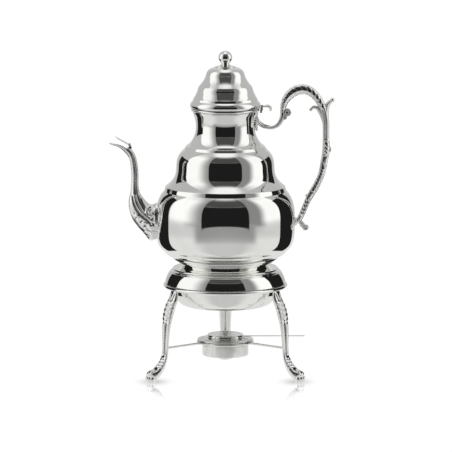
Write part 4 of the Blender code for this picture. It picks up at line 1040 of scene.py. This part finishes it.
def makeHandle():
    arm = sweepGrid(handle["path"], 80, 0.5, power=2.2)
    s, outer = arm["s"], -arm["flat"]
    grid = arm["grid"]
    x, z = grid[:, :, 0], grid[:, :, 2]
    facing = np.abs(arm["deep"]) ** 0.3

    def reach(px, pz):
        # How far along the path a place is
        gaps = np.hypot(arm["rows"][:, 0] - px, arm["rows"][:, 1] - pz)
        return float(s[int(np.argmin(gaps)), 0])

    scroll, shoulder = reach(69.3, 322.6), reach(117.0, 325.0)
    stemTop, cluster, facet = reach(121.4, 304.2), reach(121.6, 277.0), reach(118.6, 257.0)
    lowLeaf, tail = reach(103.2, 220.2), reach(91.4, 194.0)
    field = strokeField(x, z, handle["strokes"]) * facing
    # Acanthus from the scroll over the arch, leaning back from the midrib
    arch = leafage(s, outer, 6.2, 4.6, 0.42, midrib=-0.12)
    field = field + arch * between(s, scroll - 2.0, shoulder, 5.0)
    fine = 0.10 * np.sin(2 * pi * (s - 4.0 * outer) / 2.7)
    field = field + fine * between(s, scroll, shoulder - 4.0, 4.0) * np.clip(np.abs(outer) - 0.2, 0, 1)
    # Long grooves either side of a rib down the stem
    stem = -0.85 * np.exp(-((outer + 0.12) / 0.17) ** 2) - 0.35 * np.exp(-((outer - 0.72) / 0.08) ** 2)
    field = field + stem * between(s, shoulder - 1.0, cluster - 8.0, 5.0)
    seeds = np.exp(-(np.sin(pi * s / 3.1) / 0.35) ** 2) * np.exp(-((outer - 0.45) / 0.2) ** 2)
    field = field - 0.4 * seeds * between(s, stemTop - 4.0, cluster - 8.0, 3.0)
    # Leaf veins under the cluster, and a second leaf towards the tail
    veins = leafage(s, outer, 4.2, 3.0, 0.55, midrib=0.1)
    field = field + veins * between(s, facet + 4.0, lowLeaf - 3.0, 3.0)
    veins = leafage(s, outer, 4.8, 3.4, 0.5, midrib=-0.1)
    field = field + veins * between(s, lowLeaf + 2.0, tail + 1.0, 3.0)
    neckEnd = -0.3 * np.exp(-((outer - 0.1) / 0.15) ** 2) * between(s, 6.0, scroll - 6.0, 4.0)
    skin, marks = carved(arm, field + neckEnd, scale=0.9)
    sheets = [(againstWall(skin, 0.1), marks)]

    # Scrolls, spurs and knobs
    sheets.append(rosette(handle["archEye"], handle["volute"]))
    sheets.append(rosette(handle["underEye"], handle["underScroll"]))
    sheets.append(plainSweep(handle["strand"], 24))
    for line in handle["spurs"]:
        spur = sweepGrid(line, 32, 0.35)
        veins = 0.24 * np.cos(2 * pi * (spur["s"] + 2.0 * np.abs(spur["flat"])) / 2.2)
        sheets.append(carved(spur, veins * np.abs(spur["deep"]) ** 0.4, 0.7, 0.56))
    sheets += [ballSheet(place, radius) for place, radius in handle["balls"]]
    sheets.append(rosette(handle["tailEye"], handle["tailScroll"]))
    curl = [(*point, 0.8, 1.9) for point in spiral((93.0, 183.0), 3.2, 1.2, 0.8, pi * 0.3)]
    sheets.append(plainSweep(curl, 20, 0.4))
    declared(castMesh("handleCasting", sheets, chasedSilver), "pot", "cast_silver", "handle")

    # Leaf plate on the neck and boss on the belly
    plate = sweepGrid(handle["neckPlate"], 64, 0.35, power=2.3)
    veined = 0.3 * np.cos(2 * pi * (plate["s"] + 2.6 * np.abs(plate["deep"])) / 2.6)
    veined = veined + 0.3 * np.exp(-(plate["deep"] / 0.16) ** 2)
    skin, marks = carved(plate, veined * np.abs(plate["flat"]) ** 0.5, 0.5)
    declared(castMesh("handleNeckPlate", [(againstWall(skin, 0.1), marks)], chasedSilver),
             "pot", "cast_silver", "handle_upper_socket")
    boss = sweepGrid(handle["bellyBoss"], 64, 0.25, caps=3)
    skin, marks = carved(boss, 0.2 * np.cos(2 * pi * boss["s"] / 1.3), 0.5)
    declared(castMesh("handleBellyBoss", [(againstWall(skin, 0.1), marks)], chasedSilver),
             "pot", "cast_silver", "handle_lower_socket")


makeHandle()
print("handle cast")


# Hinge and thumb piece

thumb = {
    # x, height, half thickness, half depth; the root's x counts from the node's own end.
    "root": [(0.4, 327.7, 1.4, 3.6), (4.0, 327.9, 1.4, 3.9)],
    "leaf": [(49.4, 328.0, 1.5, 4.1), (52.4, 327.6, 1.7, 4.2), (54.2, 326.2, 1.6, 3.9),
             (54.7, 324.4, 1.3, 3.3), (54.4, 322.9, 1.0, 2.4)],
}


def makeHinge():
    refined("hinge_body_leaf", machinedSilver, "pot", "plain_silver", 0.3, "hingeBodyLeaf")
    refined("hinge_pin", machinedSilver, "pot", "plain_silver", 0.2, "hingePin")
    refined("hinge_lid_leaf", machinedSilver, "lid", "plain_silver", 0.3, "hingeLidLeaf")
    start = reachX("thumb_piece")[0]
    root = [(start + x, *rest) for x, *rest in thumb["root"]]
    plate = sweepGrid(root + thumb["leaf"], 56, 0.3, power=2.6)
    flutes = 0.22 * np.cos(3 * pi * plate["deep"]) * np.clip(plate["s"] / 8.0, 0, 1)
    sheet = carved(plate, flutes * np.abs(plate["flat"]) ** 0.5, 0.5)
    declared(castMesh("thumbLeaf", [sheet], chasedSilver), "lid", "cast_silver", "thumb_piece")


makeHinge()
print("hinge made")


# Legs

leg = {
    # Distance from the axis, height, half thickness, half width, from the bead to the foot
    "path": [(70.6, 106.8, 2.6, 6.8), (71.8, 100.0, 3.4, 8.0), (75.6, 90.0, 4.1, 8.7),
             (79.0, 80.0, 3.9, 8.6), (81.2, 70.0, 3.0, 8.1), (82.4, 60.0, 2.4, 7.5),
             (83.2, 45.0, 2.1, 6.7), (84.2, 31.0, 2.2, 6.2), (87.0, 22.0, 3.0, 6.6),
             (91.4, 15.2, 4.2, 7.6), (96.2, 10.4, 5.2, 8.2), (101.4, 7.2, 5.8, 8.4)],
    "azimuths": {"leg_left": 210.0, "leg_right": 330.0, "leg_rear": 90.0},
    "toes": (-0.72, -0.25, 0.25, 0.72),
    # How far out the claws reach, less at the sides, how far apart they stand, their height and radius
    "clawReach": 105.6,
    "clawCurve": 3.4,
    "clawSpread": 8.6,
    "clawHeight": 3.5,
    "clawRadius": 3.7,
    "padPlace": (101.0, 0.0, 3.6),
    "padRadius": 4.4,
    # Keeps the paws just off the table
    "lowest": 0.05,
    "strut": [(35.2, 41.0, 1.5, 1.5), (58.0, 40.2, 1.35, 1.35), (80.6, 39.3, 1.5, 1.5)],
}


def makeLegs():
    for node, azimuth in leg["azimuths"].items():
        shank = sweepGrid(leg["path"], 96, 0.42, power=2.5)
        s, end = shank["s"], shank["s"].max()
        across = shank["deep"]
        face = np.clip(-shank["flat"] * 1.6, 0.0, 1.0) ** 0.6
        z = np.broadcast_to(shank["rows"][:, 1, None], s.shape)
        # Leaf arms under the bead, an acanthus at the knee, a groove down the shin, a leaf at the ankle
        arms = -1.0 * np.exp(-((np.abs(across) - (z - 93.0) / 14.0 * 0.7) / 0.16) ** 2)
        arms = arms * between(-z, -106.0, -94.0)
        knee = leafage(s, across, 5.8, 3.6, 1.25) * between(-z, -97.0, -70.0, 3.0)
        fine = 0.35 * np.sin(2 * pi * (s + 5.0 * np.abs(across)) / 1.9)
        knee = knee + fine * between(-z, -95.0, -73.0, 3.0)
        shin = -1.25 * np.exp(-(across / 0.30) ** 2) + 0.5 * np.exp(-((np.abs(across) - 0.62) / 0.14) ** 2)
        shin = shin * between(-z, -71.0, -28.0, 4.0)
        drops = 0.5 * np.exp(-(np.sin(pi * s / 3.4) / 0.4) ** 2) * np.exp(-(across / 0.16) ** 2)
        drops = drops * between(-z, -66.0, -34.0, 3.0)
        ankle = leafage(s, across, 4.4, 3.0, 0.8) * between(-z, -28.0, -12.0, 3.0)
        field = (arms + knee + shin + drops + ankle) * face
        # Toes of the paw
        toes = sum(np.exp(-((across - toe) / 0.2) ** 2) for toe in leg["toes"])
        field = field + (0.95 * toes - 0.45) * between(s, end - 12.0, end + 9.0, 4.0) * face
        sheets = [carved(shank, field, scale=1.0)]
        for toe in leg["toes"]:
            reach = leg["clawReach"] - leg["clawCurve"] * toe * toe
            place = (reach, toe * leg["clawSpread"], leg["clawHeight"])
            sheets.append(ballSheet(place, leg["clawRadius"], 0.6, 20, 0.62))
        sheets.append(ballSheet(leg["padPlace"], leg["padRadius"], 1.8, 28, 0.5))
        for grid, _ in sheets:
            grid[:, :, 2] = np.maximum(grid[:, :, 2], leg["lowest"])
        made = castMesh(node.replace("leg_", "leg") + "Casting", sheets, legSilver, radians(azimuth))
        declared(made, "warmer", "cast_silver", node)
        strut = node.replace("leg", "strut")
        bar = plainSweep(leg["strut"], 24, 0.8)
        declared(castMesh(strut.replace("_", "") + "Bar", [bar], machinedSilver, radians(azimuth)),
                 "warmer", "plain_silver", strut)


makeLegs()
print("legs cast")


# Burner

burner = {
    "ringInside": 28.35,
    "ringFlat": 33.6,
    "canRadius": 28.0,
    "wall": 0.9,
    "wickHole": 7.0,
    "coverFlat": 33.2,
    "strands": 9,
    "capWall": 0.8,
}


def makeBurner():
    bottom, top = heights("burner_ring")
    inner, flat = burner["ringInside"], burner["ringFlat"]
    ring = outline([(inner, top), (flat, top)],
                   [(flat, top), (flat + 0.8, top - 0.7), (flat + 0.8, bottom + 0.7), (flat, bottom)],
                   [(flat, bottom), (inner, bottom)], [(inner, bottom), (inner, top)], spacing=0.6)
    declared(turned("burnerRing", ring, machinedSilver), "warmer", "plain_silver", "burner_ring")

    bottom, top = heights("burner_can")
    radius = burner["canRadius"]
    can = outline([(radius - 0.9, top), (radius, top - 0.3)], [(radius, top - 0.3), (radius, top - 4.0)],
                  [(radius, top - 4.0), (radius - 0.4, top - 4.4), (radius, top - 4.8)],
                  [(radius, top - 4.8), (radius, bottom + 1.6)],
                  [(radius, bottom + 1.6), (radius - 0.5, bottom + 0.5), (radius - 1.8, bottom)],
                  [(radius - 1.8, bottom), (0.0, bottom)])
    declared(turned("burnerCan", walled(can, burner["wall"]), machinedSilver),
             "burner", "plain_silver", "burner_can")

    bottom, top = heights("burner_cover")
    hole, flat = burner["wickHole"], burner["coverFlat"]
    cover = outline([(hole, top - 0.2), (hole + 0.5, top), (26.0, top), (28.4, top - 0.2)],
                    [(28.4, top - 0.2), (29.2, top - 0.9), (30.6, top - 1.0)],
                    [(30.6, top - 1.0), (flat - 0.2, top - 1.1), (flat + 0.8, top - 1.6),
                     (flat + 0.6, bottom + 0.3), (flat, bottom)],
                    [(flat, bottom), (hole, bottom)], [(hole, bottom), (hole, top - 0.2)], spacing=0.7)
    declared(turned("burnerCover", cover, machinedSilver), "burner", "plain_silver", "burner_cover")
    refined("wick_holder", brass, "burner", "brass", 0.2, "wickHolder")

    # The wick's end is rounded over, and its strands show down its length.
    bottom, top = heights("wick")
    radius = halfWidth("wick")
    strands = [(0.0, top)] + [(radius * t, top - 0.8 * t ** 3) for t in np.linspace(0.15, 1.0, 8)]
    strands += [(radius * 0.98, z) for z in np.linspace(top - 1.4, bottom + 0.4, 24)]
    strands += [(radius * 0.9, bottom), (0.0, bottom)]
    wick = turned("wickStrands", strands, cotton, segments=96, sharp=180.0,
                  flutes=burner["strands"], fluteDepth=0.06)
    declared(wick, "burner", "wick", "wick")

    bottom, top = heights("snuffer_cap")
    radius = halfWidth("snuffer_cap")
    cap = outline([(0.0, top), (radius - 2.2, top)],
                  [(radius - 2.2, top), (radius - 0.6, top - 0.5), (radius, top - 1.6)],
                  [(radius, top - 1.6), (radius, bottom + 0.3), (radius - 0.3, bottom)], spacing=0.8)
    declared(turned("snufferCap", walled(cap, burner["capWall"], 1.2), machinedSilver),
             "snuffer", "plain_silver", "snuffer_cap")

    bottom, top = heights("snuffer_handle")
    middle = (bottom + top) / 2
    start, end = reachX("snuffer_handle")
    strip = plainSweep([(start + 0.4, middle, 0.5, 2.9), (36.0, middle, 0.5, 2.2), (58.0, middle, 0.5, 1.7),
                        (80.0, middle, 0.5, 1.4), (end - 0.6, middle, 0.5, 1.2)], 32, 0.8, 3.5, 0.6)
    declared(castMesh("snufferStrip", [strip], machinedSilver), "snuffer", "plain_silver", "snuffer_handle")


makeBurner()
print("burner made")


# Camera, floor and studio

studio = {
    "distance": 4350.0,
    "height": 795.0,
    "target": (0.8, 182.0),
    "lens": 289.0,
    # Lights and reflectances have no unit; the tent and the table are in metres.
    "tentRadius": 0.88,
    "tentMiddle": 0.2,
    "clothLight": 0.50,
    "flagLight": 0.013,
    # Black cards beside the pot, just out of view: their lower corners seen from above, and their heights
    "cardLeft": ((215.0, 2.0), (184.0, 152.0)),
    "cardRight": ((215.0, -16.0), (184.0, 152.0)),
    "cardTop": 330.0,
    "cardFoot": 25.0,
    # Nearer than this a piece looks past the cards, which fade in over the next stretch.
    "cardNear": 116.0,
    "cardFade": 12.0,
    "tableRadius": 9.0,
    "tableLight": 1.02,
    "tableRoughness": 0.10,
    # Where the front feet stand, and the soft shadow round them: half width, half depth, loss of light
    "footPlace": (86.0, -52.0),
    "shade": (15.0, 20.0, 0.42),
    # The stretch that mirrors in front of a foot: its middle, half width, half depth, reflectance
    "mirrorAhead": 105.0,
    "mirror": (30.0, 62.0, 0.80),
    # The share of its own light that the table loses where it mirrors
    "mirrorLoss": 0.62,
}


def makeCamera():
    data = bpy.data.cameras.new("camera")
    data.sensor_width = 36.0
    data.lens = studio["lens"]
    data.clip_end = 30.0
    camera = bpy.data.objects.new("camera", data)
    bpy.context.scene.collection.objects.link(camera)
    target = axis + Vector((studio["target"][0], 0.0, studio["target"][1])) * mm
    camera.location = axis + Vector((studio["target"][0], -studio["distance"], studio["height"])) * mm
    camera.rotation_euler = (target - camera.location).to_track_quat("-Z", "Y").to_euler()
    bpy.context.scene.camera = camera
    bpy.context.scene.view_settings.view_transform = "Standard"


def panelTree():
    # One panel of the tent: its mask by direction, with soft edges, mixed over what lies behind it.
    tree, given, out = newTree(
        "tentPanel", "ShaderNodeTree",
        [("Behind", "Float", 0.0), ("Turn", "Float", 0.0), ("Rise", "Float", 0.0),
         ("From", "Float", 0.0), ("To", "Float", 0.0), ("Low", "Float", 0.0), ("High", "Float", 0.0),
         ("Inner Soft", "Float", 1.0), ("Outer Soft", "Float", 1.0), ("Low Soft", "Float", 1.0),
         ("High Soft", "Float", 1.0), ("Light", "Float", 0.0)],
        [("Light", "Float", None)])

    def edge(value, start, soft):
        return add(tree, "ShaderNodeMapRange", value, start, maths(tree, "ADD", start, soft), 0.0, 1.0,
                   interpolation_type="SMOOTHSTEP")

    inner = edge(given["Turn"], given["From"], given["Inner Soft"])
    outer = edge(given["Turn"], given["To"], given["Outer Soft"])
    low = edge(given["Rise"], given["Low"], given["Low Soft"])
    high = edge(given["Rise"], given["High"], given["High Soft"])
    sideways = maths(tree, "SUBTRACT", inner, outer)
    upright = maths(tree, "SUBTRACT", low, high)
    mask = maths(tree, "MULTIPLY", sideways, upright)
    change = maths(tree, "SUBTRACT", given["Light"], given["Behind"])
    feed(tree, out["Light"], maths(tree, "MULTIPLY_ADD", mask, change, given["Behind"]))
    return tree


def lightMaterial(name):
    # A material with an empty tree, for the pieces of the studio
    material = bpy.data.materials.new(name)
    material.use_nodes = True
    material.node_tree.nodes.clear()
    return material, material.node_tree


def makeTent():
    # A white tent round the object, with black flags and bright side panels, as silver is lit.
    tent, tree = lightMaterial("tentCloth")
    where = add(tree, "ShaderNodeTexCoord").outputs["Object"]
    centre = tuple(axis + Vector((0.0, 0.0, studio["tentMiddle"])))
    direction = add(tree, "ShaderNodeVectorMath", where, centre, operation="SUBTRACT")
    unit = add(tree, "ShaderNodeVectorMath", direction, operation="NORMALIZE")
    parts = add(tree, "ShaderNodeSeparateXYZ", unit).outputs
    side = maths(tree, "ARCTAN2", parts["X"], maths(tree, "MULTIPLY", parts["Y"], -1.0))
    side = maths(tree, "DEGREES", side)
    turn = maths(tree, "ABSOLUTE", side)
    rise = maths(tree, "DEGREES", maths(tree, "ARCSINE", parts["Z"]))
    sunk = maths(tree, "MULTIPLY_ADD", maths(tree, "MULTIPLY", turn, turn), 0.0012, rise)
    leftTurn = maths(tree, "MULTIPLY", side, -1.0)
    sideways = maths(tree, "MULTIPLY", maths(tree, "ABSOLUTE", parts["X"]), 100.0)
    panel = panelTree()
    light = studio["clothLight"]
    # Each panel's angles in degrees from the front and from the horizon, then its soft edges and its light
    for name, use, up, start, end, low, high, softIn, softOut, softLow, softHigh, value in (
        ("highCloth", turn, rise, -1, 181, 64, 200, 1, 1, 12, 1, 0.44),
        ("topPanel", sideways, rise, -1, 14, 60, 200, 1, 24, 16, 1, 0.98),
        ("leftGap", leftTurn, rise, 30, 66, -9, 62, 1, 8, 3, 10, 0.30),
        ("rightGap", side, rise, 30, 66, -9, 62, 1, 8, 3, 10, 0.26),
        ("leftPanel", leftTurn, rise, 38, 100, -12, 44, 34, 5, 12, 30, 1.06),
        ("rightPanel", side, rise, 54, 100, -12, 44, 18, 5, 12, 30, 1.06),
        ("rearCloth", turn, rise, 150, 181, -8, 60, 10, 1, 6, 14, 0.62),
        ("tableTop", turn, rise, -1, 181, -91, -14, 1, 1, 1, 8, 0.78),
        ("tableFront", turn, rise, -1, 26, -91, -8, 1, 34, 1, 4, 0.58),
        ("tableFar", turn, sunk, -1, 42, -20, -4, 1, 14, 13, 1.2, 0.31),
        ("frontFlagTop", turn, rise, -1, 37.4, 34, 56, 1, 1.6, 4, 22, 0.07),
        ("frontFlag", turn, sunk, -1, 37.4, -7.2, 32, 1, 1.6, 1.0, 10, studio["flagLight"]),
    ):
        made = useGroup(tree, panel, behind=light, turn=use, rise=up, to=end, low=low, high=high,
                        innerSoft=softIn, outerSoft=softOut, lowSoft=softLow, highSoft=softHigh, light=value)
        made[0].node.inputs["From"].default_value = start
        made[0].node.label = name
        light = made["Light"]
    glow = add(tree, "ShaderNodeEmission")
    feed(tree, glow.inputs["Strength"], light)
    add(tree, "ShaderNodeOutputMaterial", glow)

    bm = bmesh.new()
    bmesh.ops.create_uvsphere(bm, u_segments=64, v_segments=32, radius=studio["tentRadius"])
    bmesh.ops.translate(bm, vec=centre, verts=bm.verts)
    bmesh.ops.reverse_faces(bm, faces=bm.faces)
    mesh = bpy.data.meshes.new("studioTent")
    bm.to_mesh(mesh)
    bm.free()
    mesh.materials.append(tent)
    shell = newObject("studioTent", mesh)
    shell.visible_camera = False
    shell.visible_shadow = False


def makeCards():
    black, tree = lightMaterial("blackCard")
    glow = add(tree, "ShaderNodeEmission", (1.0, 1.0, 1.0, 1.0), studio["flagLight"])
    clear = add(tree, "ShaderNodeBsdfTransparent")
    # The spout and the handle stand so close to the cards that they look past them.
    length = add(tree, "ShaderNodeLightPath").outputs["Ray Length"]
    near = studio["cardNear"] * mm
    far = add(tree, "ShaderNodeMapRange", length, near, near + studio["cardFade"] * mm)
    add(tree, "ShaderNodeOutputMaterial", add(tree, "ShaderNodeMixShader", far, clear, glow))
    for name, way in (("cardLeft", -1), ("cardRight", 1)):
        corners = [axis / mm + Vector((way * x, y, 0.0)) for x, y in studio[name]]
        low = [tuple((corner + Vector((0.0, 0.0, studio["cardFoot"]))) * mm) for corner in corners]
        high = [tuple((corner + Vector((0.0, 0.0, studio["cardTop"]))) * mm) for corner in corners]
        mesh = bpy.data.meshes.new(name)
        mesh.from_pydata(low + high[::-1], [], [(0, 1, 2, 3)])
        mesh.materials.append(black)
        card = newObject(name, mesh)
        card.visible_camera = False
        card.visible_shadow = False
        card.visible_diffuse = False


def makeTable():
    pale, tree = lightMaterial("paleTable")
    where = add(tree, "ShaderNodeTexCoord").outputs["Object"]
    fromAxis = add(tree, "ShaderNodeVectorMath", where, tuple(axis), operation="SUBTRACT")
    parts = add(tree, "ShaderNodeSeparateXYZ", fromAxis).outputs
    aside = maths(tree, "SUBTRACT", maths(tree, "ABSOLUTE", parts["X"]), studio["footPlace"][0] * mm)
    ahead = maths(tree, "SUBTRACT", parts["Y"], studio["footPlace"][1] * mm)

    def blob(across, along, wide, deep, strength):
        # A soft round patch, full in its middle
        u = maths(tree, "POWER", maths(tree, "DIVIDE", maths(tree, "ABSOLUTE", across), wide * mm), 2.0)
        v = maths(tree, "POWER", maths(tree, "DIVIDE", maths(tree, "ABSOLUTE", along), deep * mm), 2.0)
        patch = maths(tree, "EXPONENT", maths(tree, "MULTIPLY", maths(tree, "ADD", u, v), -1.0))
        return maths(tree, "MULTIPLY", patch, strength)

    # The feet are mirrored in the table and stand in a small soft shadow.
    before = maths(tree, "ADD", parts["Y"], studio["mirrorAhead"] * mm)
    mirror = blob(aside, before, *studio["mirror"])
    shade = blob(aside, ahead, *studio["shade"])
    lost = maths(tree, "MULTIPLY", mirror, studio["mirrorLoss"])
    given = maths(tree, "SUBTRACT", studio["tableLight"], lost)
    glow = add(tree, "ShaderNodeEmission", (1.0, 1.0, 1.0, 1.0), maths(tree, "SUBTRACT", given, shade))
    tint = add(tree, "ShaderNodeCombineColor", mirror, mirror, mirror)
    gloss = add(tree, "ShaderNodeBsdfGlossy", tint, studio["tableRoughness"])
    # Seen from below, the table is left out.
    below = add(tree, "ShaderNodeNewGeometry").outputs["Backfacing"]
    lit = add(tree, "ShaderNodeAddShader", glow, gloss)
    shown = add(tree, "ShaderNodeMixShader", below, lit, add(tree, "ShaderNodeBsdfTransparent"))
    add(tree, "ShaderNodeOutputMaterial", shown)
    bm = bmesh.new()
    bmesh.ops.create_circle(bm, cap_ends=True, segments=96, radius=studio["tableRadius"])
    mesh = bpy.data.meshes.new("studioTable")
    bm.to_mesh(mesh)
    bm.free()
    mesh.materials.append(pale)
    table = newObject("studioTable", mesh)
    table.visible_glossy = False
    table.visible_diffuse = False


def makeWorld():
    world = bpy.data.worlds.new("studio")
    world.use_nodes = True
    world.node_tree.nodes["Background"].inputs["Color"].default_value = (1.0, 1.0, 1.0, 1.0)
    bpy.context.scene.world = world


makeCamera()
makeTent()
makeCards()
makeTable()
makeWorld()
print("studio ready")
